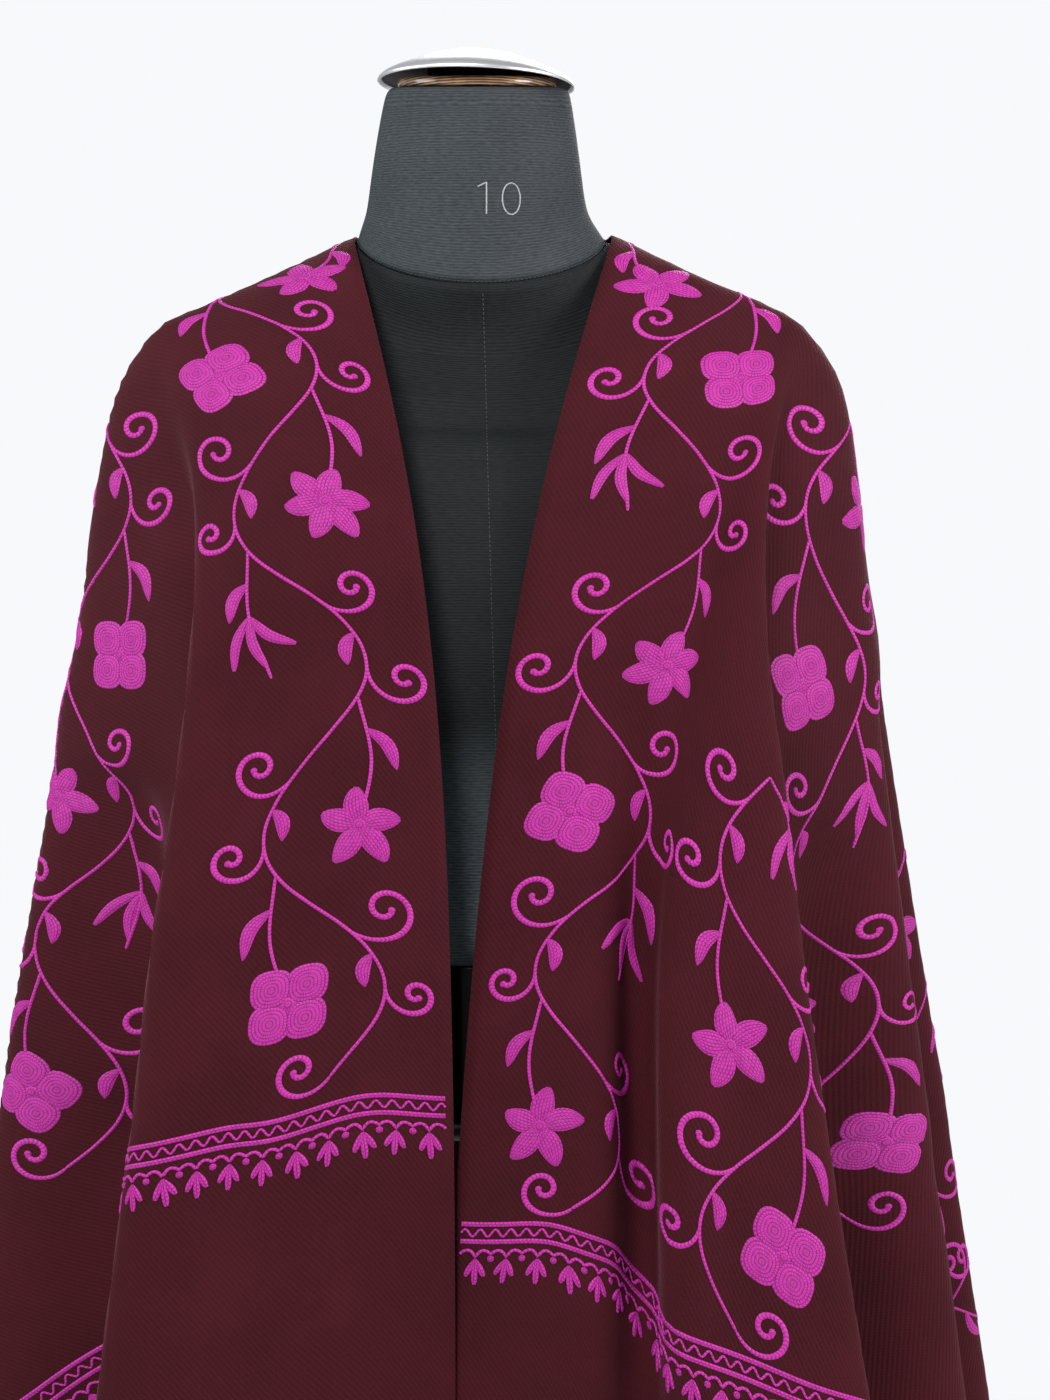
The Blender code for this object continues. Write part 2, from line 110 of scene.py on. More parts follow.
def noise(tree, place, scale, detail, roughness=0.5):
    values = {"Vector": place, "Scale": scale, "Detail": detail, "Roughness": roughness}
    return node(tree, "ShaderNodeTexNoise", values).outputs["Fac"]


def two_colors(tree, factor, low, high):
    """A ramp between two pairs of a position and a colour."""
    ramp = node(tree, "ShaderNodeValToRGB", {0: factor})
    for element, (position, color) in zip(ramp.color_ramp.elements, (low, high)):
        element.position = position
        element.color = (*color, 1.0)
    return ramp.outputs[0]


def new_material(name):
    made = bpy.data.materials.new(name)
    made.use_nodes = True
    return made


def in_scene(name, data):
    """A new object, put in the scene."""
    made = bpy.data.objects.new(name, data)
    bpy.context.scene.collection.objects.link(made)
    return made


def ring_place(row, angle):
    """The point of an oval ring at this angle. It may run lower at its front and back than at its sides."""
    ring = dict(zip(ring_columns, row))
    side = "back" if math.sin(angle) > 0 else "front"
    dip = ring[side + "_dip"] * abs(math.sin(angle)) ** dip_power
    across = ring["half_width"] * math.cos(angle) + ring.get("to_plus_x", 0.0)
    return Vector((across, ring[side] * math.sin(angle), ring["height"] - dip))


def oval_form(name, rings, material):
    """A smooth closed form through rings from the top down. Its UV runs round it and down it in metres."""
    angles = [2 * math.pi * index / form_sides for index in range(form_sides)]
    points = [ring_place(row, angle) for row in rings for angle in angles]
    last = (len(rings) - 1) * form_sides
    middles = [sum(points[start:start + form_sides], Vector()) / form_sides for start in (0, last)]
    faces, places = [], []
    down = 0.0
    for level, (row, below) in enumerate(zip(rings, rings[1:])):
        step = (ring_place(row, -math.pi / 2) - ring_place(below, -math.pi / 2)).length
        width = math.pi / 2 * (row[0] + row[2])
        for index in range(form_sides):
            after = (index + 1) % form_sides
            upper, lower = level * form_sides, (level + 1) * form_sides
            faces.append((upper + index, lower + index, lower + after, upper + after))
            left, right = index / form_sides * 2 * width, (index + 1) / form_sides * 2 * width
            places += [(left, down), (left, down + step), (right, down + step), (right, down)]
        down += step
    for start, middle, top in ((0, len(points), True), (last, len(points) + 1, False)):
        for index in range(form_sides):
            pair = (start + index, start + (index + 1) % form_sides)
            faces.append((*(pair if top else pair[::-1]), middle))
            places += [tuple(points[corner].xy) for corner in pair] + [(0.0, 0.0)]
    mesh = bpy.data.meshes.new(name)
    mesh.from_pydata([tuple(point) for point in points + middles], [], faces)
    mesh.uv_layers.new(name="knit").data.foreach_set("uv", [value for place in places for value in place])
    creases = mesh.attributes.new("crease_edge", "FLOAT", "EDGE")
    for edge in mesh.edges:
        ends = sorted(edge.vertices)
        rim = all(end < form_sides for end in ends) or all(last <= end < len(points) for end in ends)
        creases.data[edge.index].value = 1.0 if rim else 0.0
    mesh.shade_smooth()
    mesh.materials.append(material)
    form = in_scene(name, mesh)
    smooth = form.modifiers.new("Smooth", "SUBSURF")
    smooth.levels = smooth_levels
    smooth.render_levels = smooth_levels
    return form


# Painted light: below a given depth down the form the knit is made lighter over this many metres, by up to
# this gain, standing in for light falling on the lower torso.
painted_light_over = 0.12
painted_light_gain = 9.0


def knit_material(name, shade, light, rib_pitch, roughness, painted_light_from=None):
    """Tight rib knit: fine rows broken up by stitches, with painted light that makes it lighter lower down
    the form, below a given depth.
    """
    made = new_material(name)
    tree = made.node_tree
    place = node(tree, "ShaderNodeUVMap", uv_map="knit").outputs[0]
    split = node(tree, "ShaderNodeSeparateXYZ", {0: place})
    level = math_node(tree, "MULTIPLY_ADD", noise(tree, place, 90.0, 2.0), rib_pitch * 0.8, split.outputs[1])
    rib = wave(tree, level, rib_pitch)
    drawn_out = {0: place, 1: (260.0, 900.0, 1.0)}
    stretched = node(tree, "ShaderNodeVectorMath", drawn_out, operation="MULTIPLY").outputs[0]
    stitches = noise(tree, stretched, 1.0, 3.0)
    bloom = noise(tree, place, 22.0, 4.0)
    height = math_node(tree, "MULTIPLY_ADD", stitches, 1.4, math_node(tree, "MULTIPLY", rib, 0.5))
    shading = math_node(tree, "MULTIPLY_ADD", stitches, 0.9, -0.22)
    shading = math_node(tree, "MULTIPLY_ADD", rib, 0.16, shading)
    shading = math_node(tree, "MULTIPLY_ADD", bloom, 0.4, shading)
    color = two_colors(tree, shading, (0.1, shade), (0.9, light))
    bump = node(tree, "ShaderNodeBump", {"Height": height, "Strength": 0.35, "Distance": 0.0003})
    shader = tree.nodes["Principled BSDF"]
    shader.inputs["Roughness"].default_value = roughness
    shader.inputs["Specular IOR Level"].default_value = 0.15
    # Painted light: the colour grows lighter below the given depth, standing in for light on the lower torso.
    if painted_light_from:
        below = math_node(tree, "SUBTRACT", split.outputs[1], painted_light_from)
        reached = math_node(tree, "DIVIDE", below, painted_light_over)
        painted_light = node(tree, "ShaderNodeClamp", {"Value": reached}).outputs[0]
        gain = math_node(tree, "MULTIPLY_ADD", painted_light, painted_light_gain, 1.0)
        color = node(tree, "ShaderNodeVectorMath", {0: color, "Scale": gain}, operation="SCALE").outputs[0]
    tree.links.new(color, shader.inputs["Base Color"])
    tree.links.new(bump.outputs[0], shader.inputs["Normal"])
    return made


def plain_material(name, color, roughness, metallic=0.0, grain=40.0, uneven=0.25):
    """A paint or metal whose colour and gloss are a little uneven, as they are after some use."""
    made = new_material(name)
    tree = made.node_tree
    place = node(tree, "ShaderNodeTexCoord").outputs["Object"]
    wear = noise(tree, place, grain, 5.0)
    darker, lighter = ([channel * (1 + change) for channel in color] for change in (-uneven, uneven))
    paint = two_colors(tree, wear, (0.0, darker), (1.0, lighter))
    gloss = math_node(tree, "MULTIPLY_ADD", wear, roughness * 0.4, roughness * 0.8)
    shader = tree.nodes["Principled BSDF"]
    shader.inputs["Metallic"].default_value = metallic
    tree.links.new(paint, shader.inputs["Base Color"])
    tree.links.new(gloss, shader.inputs["Roughness"])
    return made


# The torso's knit gets painted light from 0.26 m down the form.
torso_knit = knit_material(
    "black_rib_knit", (0.0022, 0.0031, 0.0041), (0.0125, 0.0155, 0.0170), 0.0016, 0.75, 0.26
)
torso = oval_form("torso_in_knit", torso_rings, torso_knit)
torso_tree = BVHTree.FromObject(torso, bpy.context.evaluated_depsgraph_get())


def instances_along(name, path, motif, material, count, turn_spread=0.0, size_spread=0.0, seed=1):
    """One motif repeated along a path, its X along the path, each turned and sized a little apart."""
    tree = bpy.data.node_groups.new("repeat_along_path", "GeometryNodeTree")
    for label, kind in (("Path", "Geometry"), ("Motif", "Object"), ("Material", "Material"), ("Count", "Int"),
                        ("Turn Spread", "Float"), ("Size Spread", "Float"), ("Seed", "Int")):
        tree.interface.new_socket(label, in_out="INPUT", socket_type="NodeSocket" + kind)
    tree.interface.new_socket("Repeated", in_out="OUTPUT", socket_type="NodeSocketGeometry")
    given = node(tree, "NodeGroupInput").outputs
    curve = node(tree, "GeometryNodeMeshToCurve", {"Mesh": given["Path"]}).outputs[0]
    counted = {"Curve": curve, "Count": given["Count"]}
    stops = node(tree, "GeometryNodeResampleCurve", counted, mode="COUNT").outputs[0]
    tangent = node(tree, "GeometryNodeInputTangent").outputs[0]
    heading = node(tree, "FunctionNodeAlignRotationToVector", {"Vector": tangent}, axis="X").outputs[0]
    turned_least = math_node(tree, "MULTIPLY", given["Turn Spread"], -1.0)
    turn = node(tree, "FunctionNodeRandomValue", {"Seed": given["Seed"]}, data_type="FLOAT")
    tree.links.new(turned_least, turn.inputs[2])
    tree.links.new(given["Turn Spread"], turn.inputs[3])
    swing = node(tree, "ShaderNodeCombineXYZ", {"Z": turn.outputs[1]}).outputs[0]
    swing = node(tree, "FunctionNodeEulerToRotation", {0: swing}).outputs[0]
    turned = {0: heading, 1: swing}
    swung = node(tree, "FunctionNodeRotateRotation", turned, rotation_space="LOCAL").outputs[0]
    smallest = math_node(tree, "SUBTRACT", 1.0, given["Size Spread"])
    largest = math_node(tree, "ADD", 1.0, given["Size Spread"])
    size = node(tree, "FunctionNodeRandomValue", {"Seed": given["Seed"]}, data_type="FLOAT")
    tree.links.new(smallest, size.inputs[2])
    tree.links.new(largest, size.inputs[3])
    source = node(tree, "GeometryNodeObjectInfo", {"Object": given["Motif"]}, transform_space="ORIGINAL")
    stamped = {"Points": stops, "Instance": source.outputs["Geometry"], "Rotation": swung,
               "Scale": size.outputs[1]}
    placed = node(tree, "GeometryNodeInstanceOnPoints", stamped).outputs[0]
    realized = node(tree, "GeometryNodeRealizeInstances", {"Geometry": placed}).outputs[0]
    dressed = {"Geometry": realized, "Material": given["Material"]}
    finished = node(tree, "GeometryNodeSetMaterial", dressed).outputs[0]
    node(tree, "NodeGroupOutput", {0: finished})

    line = bpy.data.meshes.new(name + "_path")
    steps = [(index, index + 1) for index in range(len(path) - 1)]
    line.from_pydata([tuple(point) for point in path], steps, [])
    host = bpy.data.objects.new(name + "_path", line)
    stamp = bpy.data.objects.new(name + "_motif", motif)
    for helper in (host, stamp):
        bpy.context.scene.collection.objects.link(helper)
    repeat = host.modifiers.new("Repeat", "NODES")
    repeat.node_group = tree
    chosen = {"Motif": stamp, "Material": material, "Count": count, "Turn Spread": turn_spread,
              "Size Spread": size_spread, "Seed": seed}
    for socket in tree.interface.items_tree:
        if socket.name in chosen:
            repeat[socket.identifier] = chosen[socket.name]
    seen = host.evaluated_get(bpy.context.evaluated_depsgraph_get())
    mesh = bpy.data.meshes.new_from_object(seen)
    mesh.name = name
    for helper in (host, stamp):
        bpy.data.objects.remove(helper, do_unlink=True)
    return mesh


def stitch_motif(length, thickness):
    """One short stitch, as a rounded bar along X."""
    sides, stops = 5, 4
    points, faces = [], []
    for stop in range(stops + 1):
        share = stop / stops * 2 - 1
        radius = thickness / 2 * math.sqrt(max(0.06, 1 - share**2))
        for side in range(sides):
            turn = 2 * math.pi * side / sides
            points.append((length / 2 * share, radius * math.cos(turn), radius * math.sin(turn)))
    for stop in range(stops):
        for side in range(sides):
            after = (side + 1) % sides
            low, high = stop * sides, (stop + 1) * sides
            faces.append((low + side, low + after, high + after, high + side))
    faces += [tuple(range(sides))[::-1], tuple(range(stops * sides, (stops + 1) * sides))]
    mesh = bpy.data.meshes.new("stitch")
    mesh.from_pydata(points, [], faces)
    mesh.shade_smooth()
    return mesh


def on_form(tree, start, toward):
    """The point where a line from outside first meets the form."""
    hit, normal, _, _ = tree.ray_cast(start, (toward - start).normalized())
    return hit + normal * 0.0001


# The seam up the middle of the front shows as a row of small grey stitches
front_seam_top = 1.352
front_seam_foot = 0.985
front_seam_drift = 0.030
seam_stitch_pitch = 0.0026
seam_heights = np.linspace(front_seam_top, front_seam_foot, 60)
front_seam = [
    on_form(torso_tree, Vector(((front_seam_top - height) * front_seam_drift, -0.4, height)),
            Vector(((front_seam_top - height) * front_seam_drift, 0.0, height)))
    for height in seam_heights
]
seam_thread = plain_material("grey_seam_thread", (0.040, 0.044, 0.048), 0.8, grain=900.0, uneven=0.6)
front_stitches = bpy.data.objects.new("front_seam_stitches", instances_along(
    "front_seam_stitches", front_seam, stitch_motif(0.0019, 0.0005), seam_thread,
    round((front_seam_top - front_seam_foot) / seam_stitch_pitch), turn_spread=0.15, size_spread=0.15, seed=3,
))
bpy.context.scene.collection.objects.link(front_stitches)
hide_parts("form_torso")
for piece in (torso, front_stitches):
    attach(piece, "root")

# Form's neck: the same hard form under a lighter grey rib knit, sewn to the body's cover in a curved seam
# that shows its dark stitches. A plain size number is chalked on it, as the form in the picture has.
neck_rings = [
    (0.0500, 1.4785, 0.047, 0.051, 0.0075, 0.0, -0.0035),
    (0.0532, 1.4768, 0.050, 0.054, 0.0075, 0.0, -0.0035),
    (0.0552, 1.4680, 0.0505, 0.0554, 0.0065, 0.0, -0.0038),
    (0.0592, 1.443, 0.0515, 0.058, 0.003, 0.0, -0.0042),
    (0.0622, 1.420, 0.0525, 0.061, 0.006, 0.0, -0.0044),
    (0.0640, 1.4065, 0.053, 0.063, 0.014, 0.0, -0.0042),
    (0.0680, 1.3985, 0.054, 0.066, 0.022, -0.003, -0.0032),
    (0.0725, 1.3895, 0.055, 0.070, 0.031, -0.006, -0.0015),
]
neck_knit = knit_material("grey_rib_knit", (0.014, 0.0175, 0.020), (0.052, 0.061, 0.067), 0.0017, 0.8)
neck = oval_form("neck_in_knit", neck_rings, neck_knit)
neck_tree = BVHTree.FromObject(neck, bpy.context.evaluated_depsgraph_get())
seam_turns = np.linspace(0.0, 2 * math.pi, 120)
neck_seam_path = []
for turn in seam_turns:
    place = ring_place(neck_seam, turn) + Vector((0.0, 0.0, 0.0008))
    outside = Vector((place.x * 1.6, place.y * 1.6, place.z))
    neck_seam_path.append(on_form(neck_tree, outside, Vector((0.0, 0.0, place.z))))
dark_thread = plain_material("black_seam_thread", (0.006, 0.007, 0.008), 0.7, grain=900.0, uneven=0.5)
neck_stitches = bpy.data.objects.new("neck_seam_stitches", instances_along(
    "neck_seam_stitches", neck_seam_path, stitch_motif(0.0019, 0.0010), dark_thread, 170, turn_spread=0.12,
    size_spread=0.12, seed=5,
))
bpy.context.scene.collection.objects.link(neck_stitches)
chalk = plain_material("chalk", (0.26, 0.28, 0.28), 0.95, grain=700.0, uneven=0.75)
chalk_radius = 0.00045
chalk_foot = 1.398
chalk_height = 0.018
one_right = 0.002
one_flag = 0.005
zero_right = 0.016
zero_half_width = 0.005
zero_turns = np.linspace(0.0, 2 * math.pi, 13)
chalk_strokes = [
    [(one_right - one_flag, chalk_foot + chalk_height - one_flag / 2),
     (one_right, chalk_foot + chalk_height)],
    [(one_right, chalk_foot + chalk_height * share) for share in np.linspace(1.0, 0.0, 5)],
    [(zero_right + zero_half_width * math.sin(turn), chalk_foot + chalk_height * (1 + math.cos(turn)) / 2)
     for turn in zero_turns],
]
chalk_curve = bpy.data.curves.new("chalk_number", "CURVE")
chalk_curve.dimensions = "3D"
chalk_curve.bevel_depth = chalk_radius
chalk_curve.bevel_resolution = 1
chalk_curve.use_fill_caps = True
for stroke in chalk_strokes:
    spline = chalk_curve.splines.new("BEZIER")
    spline.bezier_points.add(len(stroke) - 1)
    for point, (right, height) in zip(spline.bezier_points, stroke):
        point.co = on_form(neck_tree, Vector((right, -0.4, height)), Vector((right, 0.0, height)))
        point.handle_left_type = point.handle_right_type = "AUTO"
chalk_line = in_scene("chalk_line", chalk_curve)
chalk_mesh = bpy.data.meshes.new_from_object(chalk_line.evaluated_get(bpy.context.evaluated_depsgraph_get()))
bpy.data.objects.remove(chalk_line, do_unlink=True)
chalk_mesh.materials.clear()
chalk_mesh.materials.append(chalk)
chalk_number = in_scene("chalk_number", chalk_mesh)
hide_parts("form_neck")
for piece in (neck, neck_stitches, chalk_number):
    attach(piece, "root")

# Hip shell: the form's moulded lower end, glossy black plastic, seen for a hand's breadth below the knit
hip_rings = [
    (0.1205, 0.9747, 0.081, 0.082, 0.0, 0.0),
    (0.1225, 0.968, 0.083, 0.084, 0.0, 0.0),
    (0.1225, 0.912, 0.083, 0.084, 0.0, 0.0),
    (0.1150, 0.886, 0.076, 0.077, 0.0, 0.0),
    (0.0950, 0.873, 0.060, 0.061, 0.0, 0.0),
]
hip_gloss = plain_material("gloss_black", (0.003, 0.003, 0.004), 0.14)
hip_gloss.node_tree.nodes["Principled BSDF"].inputs["Specular IOR Level"].default_value = 0.12
hip = oval_form("hip_shell_gloss", hip_rings, hip_gloss)
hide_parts("hip_shell")
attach(hip, "root")

# Neck cap: a spun steel cover, polished outside and black inside, that hides the end of the pole. It rests on
# a round plate of layered wood, and the small pale knob that screws it down stands on top.
cap_foot = 1.4846
cap_profile = [
    (0.0, 0.0142), (0.012, 0.0141), (0.020, 0.0135), (0.027, 0.0118), (0.034, 0.0090),
    (0.042, 0.0060), (0.049, 0.0030), (0.054, 0.0004), (0.0568, -0.0020), (0.0576, -0.0036),
    (0.0570, -0.0044), (0.0561, -0.0042), (0.0550, -0.0028), (0.053, -0.0012), (0.048, 0.0012),
    (0.041, 0.0040), (0.033, 0.0070), (0.029, 0.0078), (0.0281, 0.0), (0.0, 0.0),
]
cap_to_plus_x = -0.0045
cap_lean = 0.035
outside_points = 12
cap_steps = 96
cap_steel = plain_material("polished_steel", (0.78, 0.78, 0.80), 0.36, 1.0, grain=12.0, uneven=0.08)
cap_black = plain_material("black_inside", (0.008, 0.008, 0.010), 0.5)
cap_points, cap_faces, cap_slots = [], [], []
for step in range(cap_steps):
    turn = 2 * math.pi * step / cap_steps
    for radius, up in cap_profile:
        across = radius * math.cos(turn)
        height = cap_foot + up - across * cap_lean
        cap_points.append((across + cap_to_plus_x, radius * math.sin(turn), height))
for step in range(cap_steps):
    start, after = step * len(cap_profile), (step + 1) % cap_steps * len(cap_profile)
    for index in range(len(cap_profile) - 1):
        cap_faces.append((start + index, start + index + 1, after + index + 1, after + index))
        cap_slots.append(0 if index < outside_points else 1)
cap_shell = bpy.data.meshes.new("spun_cap")
cap_shell.from_pydata(cap_points, [], cap_faces)
cap_shell.polygons.foreach_set("material_index", cap_slots)
tidy_cap = bmesh.new()
tidy_cap.from_mesh(cap_shell)
bmesh.ops.remove_doubles(tidy_cap, verts=tidy_cap.verts, dist=1e-6)
tidy_cap.to_mesh(cap_shell)
tidy_cap.free()
cap_shell.shade_smooth()
for material in (cap_steel, cap_black):
    cap_shell.materials.append(material)
cap = in_scene("spun_cap", cap_shell)
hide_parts("neck_cap")
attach(cap, "root")

# Layered wood: thin brown and dark plies seen on the plate's edge, under a worn varnish
ply = new_material("layered_wood")
ply_tree = ply.node_tree
ply_place = node(ply_tree, "ShaderNodeTexCoord").outputs["Object"]
ply_grain = noise(ply_tree, ply_place, 160.0, 5.0)
ply_height = node(ply_tree, "ShaderNodeSeparateXYZ", {0: ply_place}).outputs[2]
ply_bands = wave(ply_tree, math_node(ply_tree, "MULTIPLY_ADD", ply_grain, 0.0007, ply_height), 0.0015)
ply_shade = math_node(ply_tree, "MULTIPLY_ADD", ply_bands, 0.38, ply_grain)
ply_color = two_colors(ply_tree, ply_shade, (0.2, (0.045, 0.018, 0.008)), (0.85, (0.52, 0.30, 0.15)))
ply_shader = ply_tree.nodes["Principled BSDF"]
ply_shader.inputs["Roughness"].default_value = 0.35
ply_shader.inputs["Coat Weight"].default_value = 0.6
ply_shader.inputs["Coat Roughness"].default_value = 0.08
ply_tree.links.new(ply_color, ply_shader.inputs["Base Color"])

plate_rings = [
    (0.0450, 1.4843, 0.0450, 0.0450, 0.0066, 0.0, -0.004),
    (0.0465, 1.4836, 0.0465, 0.0465, 0.0066, 0.0, -0.004),
    (0.0465, 1.4794, 0.0465, 0.0465, 0.0066, 0.0, -0.004),
    (0.0450, 1.4788, 0.0450, 0.0450, 0.0066, 0.0, -0.004),
]
plate = oval_form("layered_plate", plate_rings, ply)
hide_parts("neck_plate")
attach(plate, "root")

# The knob, pole and base keep the part's own shapes. The pole and base are black painted metal.
pole_black = plain_material("black_pole_paint", (0.012, 0.012, 0.013), 0.35, grain=60.0)
base_black = plain_material("black_base_paint", (0.014, 0.014, 0.015), 0.45, grain=30.0)
knob_wood = plain_material("pale_knob_wood", (0.62, 0.44, 0.20), 0.45, grain=300.0)
better_materials = {"cap_knob": knob_wood, "stand_pole": pole_black, "stand_base": base_black}
for name, material in better_materials.items():
    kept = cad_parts[name]
    for slot in kept.material_slots:
        slot.link = "OBJECT"
        slot.material = material

# Shawl: one rectangle of fine twill wool, 1 m by 2 m, laid over both shoulders and hanging from them in
# folds that keep its length. The folds are the part's own. A place on it is (along, in_from_edge): down the
# length from behind the neck, below zero on the -X side, and in from the edge that lies round the neck.
cloth_length = 2.0
cloth_width = 1.0
cloth_wall = 0.0012
hangs_lower_on_plus_x = 0.04
neck_cloth = 0.125
neck_back = (0.0, 0.085, 1.400)
shoulder_along = 0.056
shoulder_in = 0.107
shoulder_at = neck_cloth + shoulder_along
sides = {
    "left": {"sign": -1, "neck": (0.075, 0.0, 1.392), "shoulder": (0.190, 0.0, 1.342)},
    "right": {"sign": 1, "neck": (0.0745, 0.0, 1.393), "shoulder": (0.185, 0.0, 1.345)},
}
# strip: share of the neck-to-shoulder line; turn: degrees of the fan below the shoulder point, reached
# over turn_ease; lean: degrees by which a valley points forwards; out and back: how far a fold stands from
# the line above it, reached over the eases, and flaring by so much a metre of drop
fold_columns = (
    "name", "strip", "turn", "turn_ease", "shape", "lean",
    "out", "out_ease", "out_flare", "back", "back_ease", "back_flare",
)
folds = {
    "left": [
        ("front_edge", 0.0, 0.0, 0.0, "flat", 0, -0.060, 0.21, 0.0, -0.130, 0.13, 0.0),
        ("front_ridge", 1.0, 7.2, 0.25, "valley", 0, -0.055, 0.10, 0.12, -0.125, 0.15, 0.0),
        ("hidden_ridge", 1.0, 22.0, 0.0, "valley", 0, -0.120, 0.25, 0.21, -0.065, 0.12, 0.0),
        ("side_ridge", 1.0, 45.5, 0.0, "valley", 0, 0.020, 0.03, 0.15, 0.0, 0.1, 0.04),
        ("rear_ridge", 1.0, 60.0, 0.0, "valley", 37, 0.018, 0.03, 0.155, 0.035, 0.1, 0.11),
        ("back_ridge", 1.0, 75.0, 0.0, "valley", 60, 0.015, 0.05, 0.115, 0.070, 0.1, 0.17),
        ("back_corner", 1.0, 90.0, 0.0, "flat", 0, 0.0, 0.08, 0.0, 0.095, 0.12, 0.11),
    ],
    "right": [
        ("front_edge", 0.0, 0.0, 0.0, "flat", 0, -0.055, 0.22, -0.06, -0.113, 0.12, 0.0),
        ("near_lip", 0.75, 0.0, 0.0, "valley", -90, -0.055, 0.22, -0.06, -0.125, 0.15, 0.0),
        ("far_lip", 1.0, 3.0, 0.0, "flat", 0, -0.087, 0.25, 0.0, -0.128, 0.15, 0.0),
        ("front_ridge", 1.0, 14.0, 0.15, "valley", 0, -0.055, 0.10, 0.125, -0.120, 0.15, 0.0),
        ("hidden_ridge", 1.0, 27.0, 0.0, "valley", 0, -0.120, 0.25, 0.21, -0.065, 0.12, 0.0),
        ("side_ridge", 1.0, 46.0, 0.0, "valley", 0, 0.020, 0.03, 0.10, -0.005, 0.1, 0.03),
        ("rear_ridge", 1.0, 60.0, 0.0, "valley", 37, 0.020, 0.03, 0.136, 0.035, 0.1, 0.11),
        ("back_ridge", 1.0, 75.0, 0.0, "valley", 60, 0.015, 0.05, 0.10, 0.070, 0.1, 0.17),
        ("back_corner", 1.0, 90.0, 0.0, "flat", 0, 0.0, 0.08, 0.0, 0.095, 0.12, 0.11),
    ],
}
flat_bulge = 0.3
below_neck = {"out": 0.035, "out_ease": 0.2, "back": 0.120, "back_ease": 0.14, "back_flare": 0.1}
mid_back = {"back": 0.035, "back_ease": 0.08, "back_flare": 0.1}
ease_power = 1.5
most_fold_turn = 2.0
fold_smoothings = 12
strip_steps = 24
fan_steps = 180
crest_steps = 12
neck_steps = 16
level_step = 0.01
levels = 130
side_steps = strip_steps + fan_steps + crest_steps + neck_steps
# On the bias the rows of the front panels run lower towards their ridges: how far in, and how much lower
slip_in = {
    "left": (0.0, 0.04, 0.10, 0.15, 0.22, 0.34),
    "right": (0.0, 0.05, 0.09, 0.115, 0.14, 0.18, 0.22, 0.26, 0.32, 0.45),
}
slip_down = {
    "left": (0.0, 0.003, 0.015, 0.017, 0.017, 0.0),
    "right": (0.0, 0.001, 0.013, 0.038, 0.051, 0.056, 0.063, 0.068, 0.06, 0.0),
}
slip_starts = 0.2
slip_full_after = 0.45
slip_most = 1.3

fold_turns = np.linspace(0.0, most_fold_turn, 101)
whole_turn = np.linspace(0.0, 2 * math.pi, 181)[:-1]
fold_chords = np.cos(fold_turns[:, None] * np.sin(whole_turn)).mean(axis=1)
fine_shares = np.linspace(0.0, 1.0, 161)


def fold_path(cloth, chord, shape, share):
    """How far along and across the chord the cloth is at each share of its length: it keeps its length."""
    turn = np.interp(-chord / cloth, -fold_chords, fold_turns)
    valley, arch = np.sin(2 * math.pi * fine_shares), -np.cos(math.pi * fine_shares)
    swing = turn * (valley if shape == "valley" else arch)
    step = np.diff(fine_shares)
    middle = (swing[1:] + swing[:-1]) / 2
    along = np.concatenate([[0.0], np.cumsum(np.cos(middle) * step)])
    across = np.concatenate([[0.0], np.cumsum(np.sin(middle) * step)])
    along *= chord / along[-1]
    across *= cloth * (flat_bulge if shape == "flat" else 1.0)
    return np.interp(share, fine_shares, along), np.interp(share, fine_shares, across)


def eased(reach, ease, flare, level, power):
    return reach * (1 - np.exp(-((level / ease) ** power))) + flare * level


def side_columns(crest):
    """Strip share, fan turn and length behind the shoulder of each column of the drape, front to back."""
    after_strip = fan_steps + crest_steps + neck_steps
    strip = np.concatenate([np.linspace(0, 1, strip_steps + 1), np.ones(after_strip)])
    fan = np.concatenate([np.linspace(0, 90, fan_steps + 1), np.full(crest_steps + neck_steps, 90.0)])
    turn = np.concatenate([np.zeros(strip_steps), fan])
    round_neck = crest + neck_cloth * np.arange(1, neck_steps + 1) / neck_steps
    on_crest = np.linspace(0, crest, crest_steps + 1)
    behind = np.concatenate([np.zeros(strip_steps + fan_steps), on_crest, round_neck])
    return strip, turn, behind


def side_rows(name, crest, level):
    """Place of each fold in plan at this level: (strip, turn, behind, shape, lean, out, back)."""
    neck = np.array(sides[name]["neck"][:2])
    shoulder = np.array(sides[name]["shoulder"][:2])
    rows = []
    for fold in folds[name]:
        row = dict(zip(fold_columns, fold))
        start = neck + (shoulder - neck) * row["strip"]
        out = start[0] + eased(row["out"], row["out_ease"], row["out_flare"], level, ease_power)
        back = start[1] + eased(row["back"], row["back_ease"], row["back_flare"], level, 1.0)
        turn = row["turn"]
        if row["turn_ease"] > 0:
            turn = eased(turn, row["turn_ease"], 0.0, level, ease_power)
        rows.append((row["strip"], turn, 0.0, row["shape"], row["lean"], out, back))
    out = neck[0] + eased(below_neck["out"], below_neck["out_ease"], 0.0, level, ease_power)
    back = neck[1] + eased(below_neck["back"], below_neck["back_ease"], below_neck["back_flare"], level, 1.0)
    rows.append((1.0, 90.0, crest, "arch", 0, out, back))
    back = neck_back[1] + eased(mid_back["back"], mid_back["back_ease"], mid_back["back_flare"], level, 1.0)
    rows.append((1.0, 90.0, crest + neck_cloth, "arch", 0, 0.0, back))
    return rows


